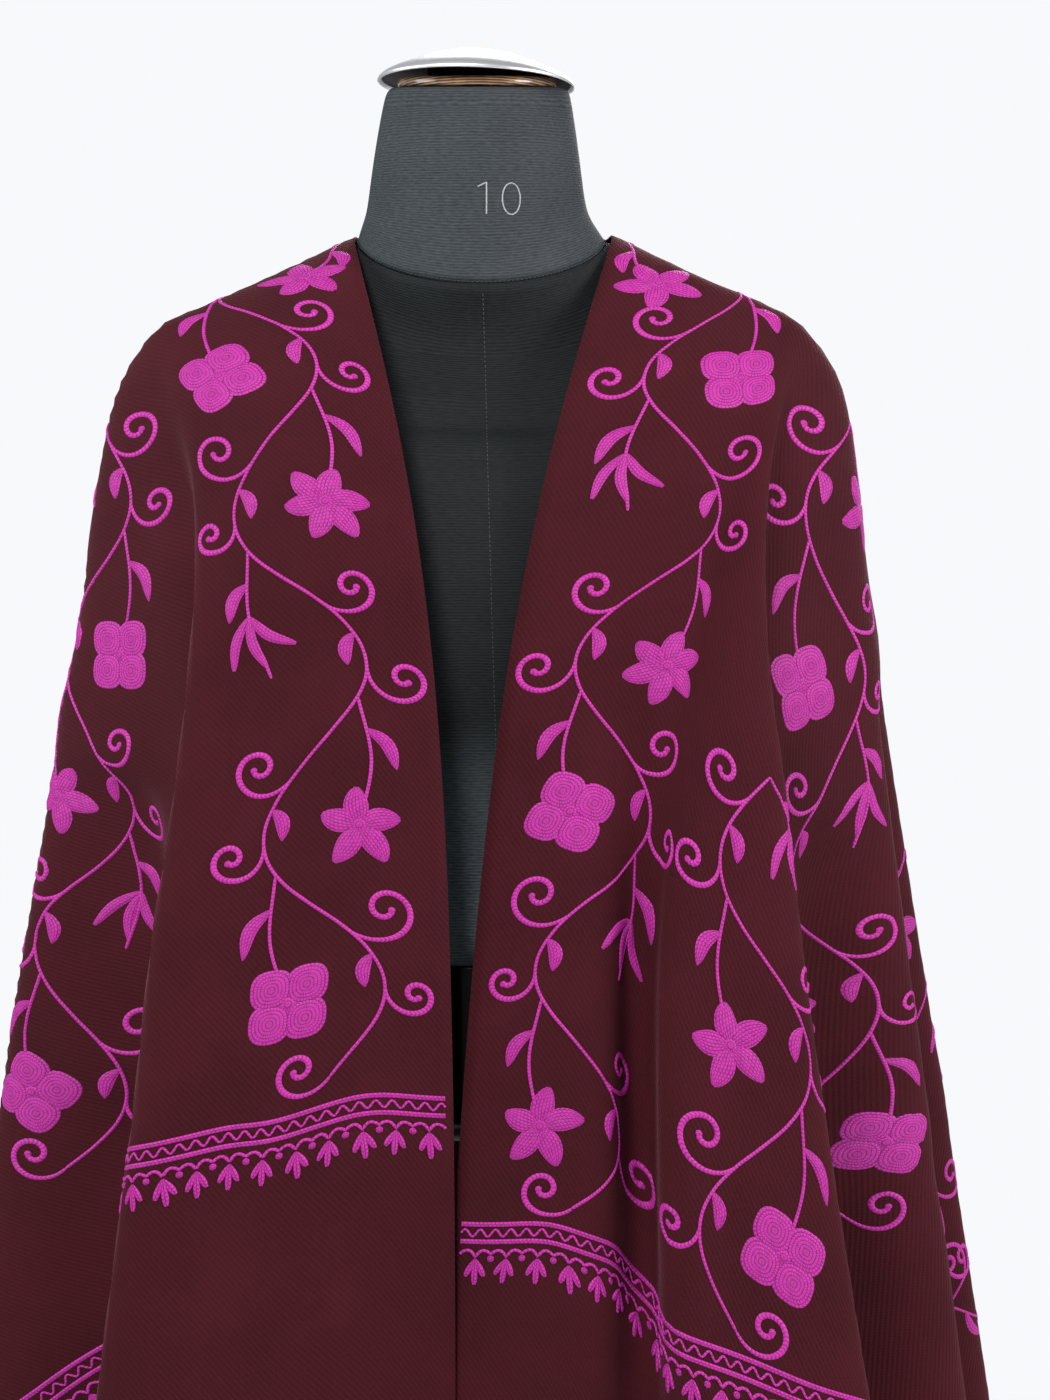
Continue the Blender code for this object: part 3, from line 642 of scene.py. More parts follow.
def side_plan(name):
    """Plan of one side of the drape: out and back for each level and column."""
    crest = math.dist(sides[name]["neck"][:2], sides[name]["shoulder"][:2])
    strip, turn, behind = side_columns(crest)
    plan = np.zeros((levels + 1, len(strip), 2))
    for index in range(levels + 1):
        level = max(index * level_step, 1e-3)
        place = crest * strip + np.radians(turn) * level + behind
        rows = side_rows(name, crest, level)
        for first, last in zip(rows, rows[1:]):
            start = crest * first[0] + math.radians(first[1]) * level + first[2]
            cloth = crest * last[0] + math.radians(last[1]) * level + last[2] - start
            begin = np.array(first[5:])
            chord = np.array(last[5:]) - begin
            length = np.linalg.norm(chord)
            chord /= length
            inwards = np.array([-chord[1], chord[0]])
            if first[3] == "valley":
                lean = math.radians(first[4])
                inwards = np.array([-math.cos(lean), -math.sin(lean)])
            here = (place >= start - 1e-9) & (place <= start + cloth + 1e-9)
            along, across = fold_path(cloth, length, first[3], (place[here] - start) / cloth)
            plan[index, here] = begin + along[:, None] * chord + across[:, None] * inwards
    return plan


def top_heights(name):
    """Height of the top of each column: the neck-to-shoulder line, the shoulder point, and round the neck."""
    neck = sides[name]["neck"][2]
    shoulder = sides[name]["shoulder"][2]
    strip = np.linspace(neck, shoulder, strip_steps + 1)
    crest = np.linspace(shoulder, neck, crest_steps + 1)[1:]
    rise = (np.arange(1, neck_steps + 1) / neck_steps) ** 2
    round_neck = neck + (neck_back[2] - neck) * (1 - (1 - rise) ** 2)
    return np.concatenate([strip, np.full(fan_steps, shoulder), crest, round_neck])


left_plan = side_plan("left") * (-1, 1)
right_plan = side_plan("right")
plan = np.concatenate([left_plan, right_plan[:, ::-1][:, 1:]], axis=1)
for _ in range(fold_smoothings):
    plan[1:, 1:-1] = (plan[1:, :-2] + 2 * plan[1:, 1:-1] + plan[1:, 2:]) / 4
tops = np.concatenate([top_heights("left"), top_heights("right")[::-1][1:]])
run = np.linalg.norm(np.diff(plan, axis=0), axis=2)
fall = np.sqrt(np.maximum(level_step**2 - run**2, (0.05 * level_step) ** 2))
drops = np.concatenate([np.zeros((1, plan.shape[1])), np.cumsum(fall, axis=0)])
drape_points = np.concatenate([plan, (tops - drops)[..., None]], axis=2)


def slip(along, in_from_edge):
    """How much lower the rows of a front panel run at these places."""
    left = np.interp(in_from_edge, slip_in["left"], slip_down["left"])
    right = np.interp(in_from_edge, slip_in["right"], slip_down["right"])
    share = np.clip((np.abs(along) - slip_starts) / slip_full_after, 0.0, slip_most)
    return np.where(along < 0, -left, right) * share


def column_and_level(along, in_from_edge):
    """Column and level of the drape at places on one side of the flat cloth."""
    crest = neck_cloth + shoulder_along * in_from_edge / shoulder_in
    beyond = np.maximum(along - shoulder_at, 0.0)
    below = np.maximum(in_from_edge - shoulder_in, 0.0)
    in_strip = (in_from_edge <= shoulder_in) & (along >= crest)
    in_fan = (in_from_edge > shoulder_in) & (along > shoulder_at)
    past_neck = np.clip((along - neck_cloth) / shoulder_along, 0.0, 1.0)
    column = strip_steps + fan_steps + crest_steps * (1 - past_neck)
    column = column + neck_steps * (1 - np.clip(along / neck_cloth, 0.0, 1.0))
    level = in_from_edge - shoulder_in * past_neck
    fan_column = strip_steps + fan_steps * np.arctan2(below, np.maximum(beyond, 1e-9)) / (math.pi / 2)
    column = np.where(in_fan, fan_column, column)
    level = np.where(in_fan, np.hypot(beyond, below), level)
    column = np.where(in_strip, strip_steps * in_from_edge / shoulder_in, column)
    return column, np.where(in_strip, along - crest, level)


def drape(along, in_from_edge):
    """Places on the flat cloth to the points where they hang."""
    column, level = column_and_level(np.abs(along), in_from_edge)
    column = np.where(along > 0, 2 * side_steps - column, column)
    level = level / level_step
    left = np.clip(column.astype(int), 0, drape_points.shape[1] - 2)
    upper = np.clip(level.astype(int), 0, levels - 1)
    across = (column - left)[..., None]
    down = (level - upper)[..., None]
    top = drape_points[upper, left] * (1 - across) + drape_points[upper, left + 1] * across
    bottom = drape_points[upper + 1, left] * (1 - across) + drape_points[upper + 1, left + 1] * across
    return top * (1 - down) + bottom * down


# The flat cloth's own grid, and the point where each of its crossings hangs
cells_along = 286
cells_in = 143
half_length = cloth_length / 2
along_lines = np.linspace(
    hangs_lower_on_plus_x - half_length, hangs_lower_on_plus_x + half_length, cells_along + 1
)
in_lines = np.linspace(0.0, cloth_width, cells_in + 1)
flat_along, flat_in = np.meshgrid(along_lines, in_lines, indexing="ij")
cloth_points = drape(flat_along + slip(flat_along, flat_in), flat_in)

# Soft creases, given one by one: where each crosses the cloth, which way it runs, its length, width and
# height
crease_columns = ("along", "in_from_edge", "turn", "length", "width", "height")
creases = [
    (-0.30, 0.06, 20, 0.22, 0.018, 0.0030),
    (-0.46, 0.09, 8, 0.30, 0.020, -0.0025),
    (-0.66, 0.05, -6, 0.34, 0.022, 0.0030),
    (-0.40, 0.24, 30, 0.24, 0.020, 0.0030),
    (-0.62, 0.36, 34, 0.30, 0.024, -0.0035),
    (0.30, 0.05, -14, 0.26, 0.018, 0.0030),
    (0.44, 0.03, -4, 0.34, 0.020, -0.0025),
    (0.60, 0.16, -10, 0.30, 0.022, 0.0035),
    (0.36, 0.22, -32, 0.26, 0.020, 0.0030),
    (0.66, 0.40, -30, 0.32, 0.024, -0.0035),
    (-0.10, 0.30, 70, 0.26, 0.026, 0.0040),
    (0.12, 0.42, -74, 0.30, 0.028, -0.0040),
    (0.60, 0.094, 11, 0.42, 0.020, -0.0160),
    (0.60, 0.130, 11, 0.42, 0.020, 0.0090),
    (-0.82, -0.01, 0, 0.50, 0.060, -0.0220),
    (0.84, -0.01, 0, 0.40, 0.040, -0.0100),
    (-0.50, 0.16, 8, 0.36, 0.022, 0.0040),
    (0.02, 0.66, 88, 0.40, 0.030, 0.0040),
    (-0.26, 0.62, 50, 0.36, 0.028, 0.0040),
    (0.30, 0.66, -48, 0.36, 0.028, 0.0040),
]
smoothings = 6
smoothing = 0.9
size_kept = 1.04
clearance = 0.0008


def outward_normals(points):
    """The cloth's normals at the grid's crossings, pointing away from the wearer."""
    normals = np.cross(np.gradient(points, axis=0), np.gradient(points, axis=1))
    length = np.linalg.norm(normals, axis=2, keepdims=True)
    return normals / np.maximum(length, 1e-12)


def smoothed(grid, times):
    for _ in range(times):
        grid[1:-1] = (grid[:-2] + 2 * grid[1:-1] + grid[2:]) / 4
        grid[:, 1:-1] = (grid[:, :-2] + 2 * grid[:, 1:-1] + grid[:, 2:]) / 4
    return grid


for _ in range(smoothings):
    blurred = smoothed(cloth_points.copy(), 1)
    cloth_points += (blurred - cloth_points) * smoothing
    blurred = smoothed(cloth_points.copy(), 1)
    cloth_points -= (blurred - cloth_points) * smoothing * size_kept
# The side panels stand out a little more from the form the lower they hang
for sign, most_flare, from_height, over in ((-1, 0.011, 1.20, 0.35), (1, 0.018, 1.15, 0.45)):
    below = np.clip((from_height - cloth_points[..., 2]) / over, 0.0, 1.0)
    outside = np.clip((sign * cloth_points[..., 0] - 0.12) / 0.14, 0.0, 1.0)
    cloth_points[..., 0] += sign * most_flare * below * outside**2 * (3 - 2 * outside)
cloth_normals = smoothed(outward_normals(cloth_points), 2)
crease_height = np.zeros_like(flat_along)
for crease in creases:
    row = dict(zip(crease_columns, crease))
    turn = math.radians(row["turn"])
    from_along, from_in = flat_along - row["along"], flat_in - row["in_from_edge"]
    run_along = from_along * math.cos(turn) + from_in * math.sin(turn)
    run_across = from_in * math.cos(turn) - from_along * math.sin(turn)
    shape = np.exp(-((run_along / (row["length"] / 2)) ** 2) - (run_across / row["width"]) ** 2)
    crease_height += row["height"] * shape
cloth_points += cloth_normals * crease_height[..., None]

# Where the cloth rests on the form it is lifted clear of it
near_form = np.argwhere(cloth_points[..., 2] > 1.0)
for row, column in near_form:
    point = Vector(cloth_points[row, column])
    nearest, normal, _, _ = torso_tree.find_nearest(point, 0.03)
    if nearest is None:
        continue
    height = (point - nearest).dot(normal)
    if height < clearance:
        cloth_points[row, column] = nearest + normal * clearance
cloth_normals = smoothed(outward_normals(cloth_points), 1)
cloth_normals /= np.linalg.norm(cloth_normals, axis=2, keepdims=True)

corners = np.arange(flat_along.size).reshape(flat_along.shape)
quads = np.stack(
    [corners[:-1, :-1], corners[1:, :-1], corners[1:, 1:], corners[:-1, 1:]], axis=-1
).reshape(-1, 4)
cloth_mesh = bpy.data.meshes.new("draped_shawl")
cloth_mesh.from_pydata(cloth_points.reshape(-1, 3).tolist(), [], quads.tolist())
cloth_uv = cloth_mesh.uv_layers.new(name="flat_cloth")
flat_places = np.stack([flat_along.ravel(), flat_in.ravel()], axis=1)
cloth_uv.data.foreach_set("uv", flat_places[quads.ravel()].astype(np.float32).ravel())
cloth_mesh.shade_smooth()
draped_shawl = in_scene("draped_shawl", cloth_mesh)
wall = draped_shawl.modifiers.new("Wall", "SOLIDIFY")
wall.thickness = cloth_wall
wall.offset = 1.0

# The wool: burgundy, with a fine diagonal twill, a soft nap and a little unevenness in its dye
wool = new_material("burgundy_twill")
wool_tree = wool.node_tree
twill_pitch = 0.0023
twill_turn = 55.0
thread_pitch = 0.0009
cloth_place = node(wool_tree, "ShaderNodeUVMap", uv_map="flat_cloth").outputs[0]
slanted = {"Vector": cloth_place, "Angle": math.radians(twill_turn)}
ribs = node(wool_tree, "ShaderNodeVectorRotate", slanted, rotation_type="Z_AXIS").outputs[0]
split = node(wool_tree, "ShaderNodeSeparateXYZ", {0: ribs})
rib_wave = wave(wool_tree, split.outputs[0], twill_pitch)
thread_wave = wave(wool_tree, split.outputs[1], thread_pitch)
yarn = noise(wool_tree, cloth_place, 900.0, 3.0)
dye = noise(wool_tree, cloth_place, 14.0, 4.0, 0.6)
weave = math_node(wool_tree, "MULTIPLY", rib_wave, 0.6)
weave = math_node(wool_tree, "MULTIPLY_ADD", thread_wave, 0.3, weave)
weave = math_node(wool_tree, "MULTIPLY_ADD", yarn, 1.2, weave)
wool_bump = node(wool_tree, "ShaderNodeBump", {"Height": weave, "Strength": 0.5, "Distance": 0.0003})
shade = math_node(wool_tree, "MULTIPLY_ADD", yarn, 0.5, 0.25)
shade = math_node(wool_tree, "MULTIPLY_ADD", rib_wave, 0.07, shade)
shade = math_node(wool_tree, "MULTIPLY_ADD", dye, 0.5, math_node(wool_tree, "SUBTRACT", shade, 0.25))
wool_color = two_colors(wool_tree, shade, (0.15, (0.016, 0.0015, 0.0028)), (0.85, (0.057, 0.0062, 0.0108)))
wool_shader = wool_tree.nodes["Principled BSDF"]
wool_shader.inputs["Roughness"].default_value = 0.85
wool_shader.inputs["Specular IOR Level"].default_value = 0.10
wool_shader.inputs["Sheen Weight"].default_value = 0.12
wool_shader.inputs["Sheen Roughness"].default_value = 0.35
wool_shader.inputs["Sheen Tint"].default_value = (0.75, 0.30, 0.40, 1.0)
wool_tree.links.new(wool_color, wool_shader.inputs["Base Color"])
wool_tree.links.new(wool_bump.outputs[0], wool_shader.inputs["Normal"])
cloth_mesh.materials.append(wool)

# Embroidery: magenta thread worked in chain stitch through the cloth with a hooked needle, so that every
# stem, leaf and flower stands proud of it. Stems are one row of chain and fillings are rows side by side.
# It is laid out flat, in from the edge and down from behind the neck, and then hung with the cloth.
centimetre = 0.01
row_width = 0.0022
curl_width = 0.0038
filling_row = 0.0017
link_length = 0.0021
stem_height = 0.0010
filling_height = 0.0013
sunk = 0.0003
line_spacing = 0.0022
curl_widens_by = 0.35


def cloth_at(along, in_from_edge):
    """The hanging cloth's points and normals at places on the flat cloth."""
    row = np.clip((along - along_lines[0]) / (along_lines[1] - along_lines[0]), 0.0, cells_along - 1e-6)
    column = np.clip(in_from_edge / (in_lines[1] - in_lines[0]), 0.0, cells_in - 1e-6)
    upper = row.astype(int)
    left = column.astype(int)
    down = (row - upper)[:, None]
    across = (column - left)[:, None]

    def between(grid):
        top = grid[upper, left] * (1 - across) + grid[upper, left + 1] * across
        bottom = grid[upper + 1, left] * (1 - across) + grid[upper + 1, left + 1] * across
        return top * (1 - down) + bottom * down

    return between(cloth_points), between(cloth_normals)


def hung_on_cloth(flat):
    """Flat stitching as (along, in, height) to where it hangs, on the cloth's outer face."""
    points, normals = cloth_at(flat[:, 0], flat[:, 1])
    return points + normals * (flat[:, 2:] + cloth_wall - sunk)


class Stitching:
    """Raised stitching that is built flat, and becomes one piece once it is hung on the cloth."""

    def __init__(self):
        self.flat = []
        self.thread = []
        self.faces = []
        self.count = 0

    def add(self, flat, thread):
        """A grid of (along, in, height) with its (links along the thread, rows across) at each crossing."""
        rows, columns = flat.shape[:2]
        corners = np.arange(rows * columns).reshape(rows, columns) + self.count
        quads = (corners[:-1, :-1], corners[1:, :-1], corners[1:, 1:], corners[:-1, 1:])
        self.faces.append(np.stack(quads, axis=-1).reshape(-1, 4))
        self.flat.append(flat.reshape(-1, 3))
        self.thread.append(thread.reshape(-1, 2))
        self.count += rows * columns

    def mesh(self, name, points):
        faces = np.concatenate(self.faces)
        mesh = bpy.data.meshes.new(name)
        mesh.from_pydata(points.tolist(), [], faces.tolist())
        uv = mesh.uv_layers.new(name="thread")
        uv.data.foreach_set("uv", np.concatenate(self.thread)[faces.ravel()].astype(np.float32).ravel())
        mesh.shade_smooth()
        mesh.materials.append(thread_material)
        return mesh

    def hung(self, name):
        """The piece, hung with the cloth."""
        piece = in_scene(name, self.mesh(name, hung_on_cloth(np.concatenate(self.flat))))
        return piece


def smooth_line(places, spacing=line_spacing):
    """A curve through a few points, as points this far apart."""
    points = np.array(places, float)
    ends = np.vstack([2 * points[0] - points[1], points, 2 * points[-1] - points[-2]])
    share = np.linspace(0.0, 1.0, 9)[:-1, None]
    pieces = []
    for before, start, end, after in zip(ends, ends[1:], ends[2:], ends[3:]):
        bend = 2 * before - 5 * start + 4 * end - after
        twist = 3 * (start - end) + after - before
        pieces.append(start + ((end - before) * share + bend * share**2 + twist * share**3) / 2)
    return respaced(np.vstack([*pieces, points[-1:]]), spacing)


def band(work, line, half_width, height, rows, sections):
    """Rows of chain side by side along a line, rounded across, with a half width for each point."""
    step = np.gradient(line, axis=0)
    length = np.maximum(np.linalg.norm(step, axis=1, keepdims=True), 1e-9)
    side = np.stack([-step[:, 1], step[:, 0]], axis=1) / length
    shares = np.linspace(-1.0, 1.0, sections)
    reach = half_width[:, None] * shares
    places = line[:, None] + side[:, None] * reach[..., None]
    fullness = 0.35 + 0.65 * half_width[:, None] / half_width.max()
    rise = height * fullness * np.sqrt(np.clip(1.0 - shares**2, 0.0, 1.0))
    run = np.concatenate([[0.0], np.cumsum(np.linalg.norm(np.diff(line, axis=0), axis=1))])
    links = np.broadcast_to(run[:, None] / link_length, rise.shape)
    across = np.broadcast_to((shares + 1.0) / 2 * rows, rise.shape)
    work.add(np.concatenate([places, rise[..., None]], axis=2), np.stack([links, across], axis=2))


def respaced(line, spacing):
    """The same line as points this far apart."""
    reach = np.concatenate([[0.0], np.cumsum(np.linalg.norm(np.diff(line, axis=0), axis=1))])
    stops = np.linspace(0.0, reach[-1], max(3, round(reach[-1] / spacing)) + 1)
    return np.stack([np.interp(stops, reach, line[:, axis]) for axis in (0, 1)], axis=1)


def stem(work, places):
    """One row of chain along a smooth line."""
    line = smooth_line(places)
    from_end = np.minimum(np.arange(len(line)), np.arange(len(line))[::-1])
    band(work, line, row_width / 2 * np.minimum(1.0, 0.6 + from_end / 2), stem_height, 1, 4)


def curl(work, places):
    """One row of chain that winds up to a knot, worked wider as it winds."""
    line = respaced(np.array(places, float), line_spacing * 0.75)
    widened = np.clip(np.linspace(0.0, 1.0, len(line)) / curl_widens_by, 0.0, 1.0)
    band(work, line, (row_width + (curl_width - row_width) * widened) / 2, stem_height, 1, 4)
    knot(work, line[-1], curl_width * 0.5, filling_height, 1)


def leaf(work, places, width, blunt=0.75, widest=1.0, tip=0.0):
    """A leaf or petal filled with rows that follow its sides, along a line from base to tip."""
    line = smooth_line(places, line_spacing * 0.8)
    for _ in range(3):
        line[1:-1] = (line[:-2] + 2 * line[1:-1] + line[2:]) / 4
    share = np.linspace(0.0, 1.0, len(line))
    least = 0.12 + tip * share**4
    half_width = width / 2 * (least + (1 - least) * np.sin(math.pi * share**widest) ** blunt)
    band(work, line, half_width, filling_height, max(2, round(width / filling_row)), 7)


def knot(work, center, radius, height, rows=2, squareness=2.0, turned=0.0):
    """A small round or rounded square filling worked in rings."""
    turns = np.linspace(0.0, 2 * math.pi, 15 if squareness == 2.0 else 25)
    rings = np.linspace(0.0, 1.0, rows * 2 + 1 if rows < 4 else rows + 1)[::-1][:, None]
    cosine, sine = np.abs(np.cos(turns - turned)), np.abs(np.sin(turns - turned))
    reach = radius * rings / (cosine**squareness + sine**squareness) ** (1 / squareness)
    along = center[0] - reach * np.cos(turns)
    in_from_edge = center[1] + reach * np.sin(turns)
    rise = np.broadcast_to(height * np.sqrt(1.0 - (rings * 0.98) ** 2), along.shape)
    links = np.broadcast_to(turns * radius / link_length, along.shape)
    across = np.broadcast_to(rings * rows, along.shape)
    work.add(np.stack([along, in_from_edge, rise], axis=2), np.stack([links, across], axis=2))


def star(work, center, turn, radius, petals):
    """A flower of pointed petals round a knot, each a little different in length."""
    center = np.array(center)
    for index in range(petals):
        angle = math.radians(turn) + 2 * math.pi * index / petals + 0.09 * math.sin(2.3 * index + turn)
        reach = radius * (0.94 + 0.08 * math.sin(1.7 * index + turn))
        heading = np.array([math.cos(angle), math.sin(angle)])
        sideways = np.array([-heading[1], heading[0]]) * 0.05 * radius
        base, tip = center + heading * 0.06 * radius, center + heading * reach
        leaf(work, [base, center + heading * 0.55 * reach + sideways, tip], radius * 0.60, 0.66, 0.88, 0.08)
    knot(work, center, radius * 0.16, filling_height * 1.25)


def rosette(work, center, turn, radius):
    """Four rounded square lobes, each filled from its rim inwards in rings."""
    center = np.array(center)
    for index in range(4):
        angle = math.radians(turn + 45 + 90 * index)
        lobe = center + np.array([math.cos(angle), math.sin(angle)]) * radius * 0.54
        rows = round(radius * 0.46 / filling_row)
        knot(work, lobe, radius * 0.46, filling_height * 1.1, rows, 2.7, -math.radians(turn))
    knot(work, center, radius * 0.16, filling_height * 1.3)


def tulip(work, base, tips, width=0.0062):
    """Three pointed leaves that open from one base."""
    base = np.array(base)
    for tip in tips:
        tip = np.array(tip)
        middle = (base + tip) / 2 + (tip - base)[::-1] * (0.10, -0.10)
        leaf(work, [base, middle, tip], width, 0.65, 0.95, 0.2)


# Thread: glossy magenta, each stitch a slanted link, with painted shade darkening the gap beside it
thread_material = new_material("magenta_chain_stitch")
thread_tree = thread_material.node_tree
thread_uv = node(thread_tree, "ShaderNodeUVMap", uv_map="thread").outputs[0]
thread_place = node(thread_tree, "ShaderNodeSeparateXYZ", {0: thread_uv})
row_number = math_node(thread_tree, "FLOOR", thread_place.outputs[1])
from_middle = math_node(thread_tree, "FRACT", thread_place.outputs[1])
from_middle = math_node(thread_tree, "SUBTRACT", from_middle, 0.5)
from_middle = math_node(thread_tree, "ABSOLUTE", from_middle)
slant = math_node(thread_tree, "MULTIPLY_ADD", row_number, 0.37, thread_place.outputs[0])
slant = math_node(thread_tree, "MULTIPLY_ADD", from_middle, 1.1, slant)
link = math_node(thread_tree, "MULTIPLY", math_node(thread_tree, "FRACT", slant), math.pi)
link = math_node(thread_tree, "SINE", link)
row_round = math_node(thread_tree, "POWER", math_node(thread_tree, "MULTIPLY", from_middle, 2.0), 3.0)
row_round = math_node(thread_tree, "SUBTRACT", 1.0, row_round)
stitch = math_node(thread_tree, "MULTIPLY", math_node(thread_tree, "POWER", link, 0.6), row_round)
fibre = noise(thread_tree, thread_uv, 0.45, 3.0)
thread_bump = node(thread_tree, "ShaderNodeBump", {"Height": stitch, "Strength": 0.6, "Distance": 0.0004})
# Painted shade: the colour darkens where each link falls away into the gap between links, with a random fibre
# tone added.
thread_gap_shade_and_fibre = math_node(thread_tree, "MULTIPLY_ADD", stitch, 0.85, -0.28)
thread_gap_shade_and_fibre = math_node(thread_tree, "MULTIPLY_ADD", fibre, 0.7, thread_gap_shade_and_fibre)
thread_color = two_colors(
    thread_tree, thread_gap_shade_and_fibre, (0.05, (0.085, 0.003, 0.065)), (0.8, (0.42, 0.020, 0.275))
)
thread_shader = thread_tree.nodes["Principled BSDF"]
thread_shader.inputs["Roughness"].default_value = 0.5
thread_shader.inputs["Specular IOR Level"].default_value = 0.20
thread_tree.links.new(thread_color, thread_shader.inputs["Base Color"])
thread_tree.links.new(thread_bump.outputs[0], thread_shader.inputs["Normal"])

# Pattern: vines in the traditional manner, laid out by rule. A vine's stem swings from side to side of its
# axis. Each bay between two crossings has a flower in its hollow, and two curls on the outside of its
# swing. Places are (in, down) in centimetres, and a curl has its place in the bay and its size.
curl_turning = 8.8
curl_tightening = 0.21
curl_points = 60
upper_curl = (0.12, 1.9)
lower_curl = (0.50, 1.7)
hollow = 1.9
flower_radius = 2.3
branch_leaves_before = 0.3
leaf_length = 2.6
leaf_width = 0.8
tulip_length = 3.0
tulip_spread = 0.6
axis_spacing = 0.25
stem_every = 6
size_spread = 0.12
leaf_bend = 0.35
branch_leaf_turn = 1.15
branch_bulge = 0.6
hollow_leaf_at = 0.30
hollow_leaf_turn = 1.1
hollow_leaf_size = 0.7
flower_turn = 17.0
other_hand_turn = 40.0


def facing(angle):
    return np.array([math.cos(angle), math.sin(angle)])


def winding(start, heading, hand, size):
    """A line that bends ever tighter to one hand."""
    turned = np.linspace(0.0, curl_turning, curl_points)
    length = size * np.exp(-curl_tightening * turned) * turned[1]
    steps = [facing(heading + hand * turn) * step for turn, step in zip(turned, length)]
    return start + np.vstack([np.zeros(2), np.cumsum(steps[:-1], axis=0)])


def bent_leaf(start, heading, hand, length):
    """A leaf's line, bent a little to one hand."""
    tip = start + facing(heading + hand * leaf_bend) * length
    return [start, start + facing(heading) * length * 0.5, tip]


def vine(axis, bays, swing, flowers, hand=1):
    """The chart of one vine along an axis, with a kind of flower for each bay in turn."""
    middle = smooth_line(axis, axis_spacing)
    step = np.gradient(middle, axis=0)
    side = np.stack([-step[:, 1], step[:, 0]], axis=1) / np.linalg.norm(step, axis=1, keepdims=True)
    swung = hand * swing * np.sin(math.pi * np.linspace(0.0, bays, len(middle)))
    line = middle + side * swung[:, None]
    heading = np.arctan2(*np.gradient(line, axis=0).T[::-1])
    chart = {kind: [] for kind in ("stems", "curls", "leaves", "stars", "rosettes", "tulips")}
    chart["stems"].append(np.vstack([line[:-3:stem_every], line[-1:]]))

    def at(bay):
        return min(max(0, round(bay / bays * (len(line) - 1))), len(line) - 1)

    for bay, kind in zip(range(bays), flowers * bays):
        outside = hand * (-1) ** bay
        uneven = 1 + size_spread * math.sin(2.1 * bay + 1.3 * swing + axis[0][1])
        crest = at(bay + 0.5)
        center = middle[crest] - side[crest] * outside * hollow
        start = line[at(bay - branch_leaves_before)]
        bulge = (start + center) / 2 - side[crest] * outside * branch_bulge
        chart["stems"].append([start, bulge, center])
        down = math.atan2(*(center - bulge)[::-1])
        inner = at(bay + hollow_leaf_at)
        toward_branch = down - outside * branch_leaf_turn
        toward_hollow = heading[inner] - outside * hollow_leaf_turn
        chart["leaves"] += [
            bent_leaf((start + bulge) / 2, toward_branch, outside, leaf_length * uneven),
            bent_leaf(line[inner], toward_hollow, outside, leaf_length * hollow_leaf_size),
        ]
        for place, size in (upper_curl, lower_curl):
            begin = at(bay + place)
            chart["curls"].append(winding(line[begin], heading[begin], outside, size * uneven))
            uneven = 2 - uneven
        if kind == "tulip":
            tips = [bulge + facing(down + turn) * tulip_length for turn in (-tulip_spread, 0.0, tulip_spread)]
            chart["tulips"].append((bulge, tips))
        else:
            chart[kind + "s"].append((center, flower_turn * bay + other_hand_turn * (hand > 0)))
    chart["curls"].append(winding(line[-1], heading[-1], hand * (-1) ** bays, lower_curl[1]))
    return chart


def embroider(chart, placed, stems, flowers, size=centimetre):
    """Works a chart, each of its places put on the cloth by placed."""
    for places in chart["stems"]:
        stem(stems, [placed(place) for place in places])
    for places in chart["curls"]:
        curl(stems, [placed(place) for place in places])
    for index, (center, turn) in enumerate(chart["stars"]):
        star(flowers, placed(center), turn, flower_radius * size, 5 + index % 2)
    for center, turn in chart["rosettes"]:
        rosette(flowers, placed(center), turn, flower_radius * size)
    for base, tips in chart["tulips"]:
        tulip(flowers, placed(base), [placed(tip) for tip in tips])
    for places in chart["leaves"]:
        leaf(flowers, [placed(place) for place in places], leaf_width * size)


# Where the vines of the fronts and sides run: axis, bays, swing, flowers in turn, first swing's side
vines = {
    "left": [
        ([(1, 13), (6, 20), (6, 42), (6, 64)], 6, 2.8, ("star", "rosette", "star", "tulip"), -1),
        ([(16, 22), (25, 35), (36, 48), (43, 56)], 5, 2.4, ("tulip", "rosette", "star"), 1),
        ([(38, 35), (49, 43), (60, 54)], 3, 2.4, ("star", "tulip", "rosette"), -1),
    ],
    "right": [
        ([(1, 13), (6, 20), (6, 46), (6, 71)], 7, 2.8, ("star", "rosette", "tulip"), -1),
        ([(16, 44), (18, 58), (18, 71)], 3, 2.6, ("tulip", "star", "rosette"), 1),
        ([(16, 22), (24, 34), (36, 47), (45, 58)], 5, 2.4, ("star", "rosette", "tulip"), 1),
        ([(39, 34), (50, 43), (60, 54)], 3, 2.4, ("star", "tulip"), -1),
    ],
}
embroidery = []
for side, rows in vines.items():
    sign = sides[side]["sign"]

    def on_side(place):
        """A charted place as (along, in) in metres."""
        return (sign * place[1] * centimetre, place[0] * centimetre)

    stems, flowers = Stitching(), Stitching()
    for row in rows:
        embroider(vine(*row), on_side, stems, flowers)
    embroidery += [stems.hung(f"{side}_front_stems"), flowers.hung(f"{side}_front_flowers")]


# The border near each end: two double rows of chain with a zigzag between them, and below them a scalloped
# row that carries a spray of short leaves at every dip and a small bead between two dips
border_top_lines = {"left": 0.654, "right": 0.7205}
border_margin = 0.004
border_lines_apart = 0.0095
double_row = 0.0031
zigzag_depth = 0.0020
zigzag_length = 0.0080
zigzag_row = 0.0017
scallop_down = 0.0143
dip_at_spray = 0.0042
dip_at_bead = 0.0022
bead_radius = 0.0019
pendants = 61
pendant_pitch = (cloth_width - 2 * border_margin) / pendants
pendant_columns = ("turn", "length", "width")
pendant_leaves = [
    (-26, 0.0112, 0.0037),
    (0, 0.0146, 0.0038),
    (26, 0.0112, 0.0037),
]


def hand_waver(in_from_edge):
    """The small waver of a line that is worked by hand and eye."""
    return 0.0009 * np.sin(in_from_edge * 37.0) + 0.0006 * np.sin(in_from_edge * 83.0 + 1.0)


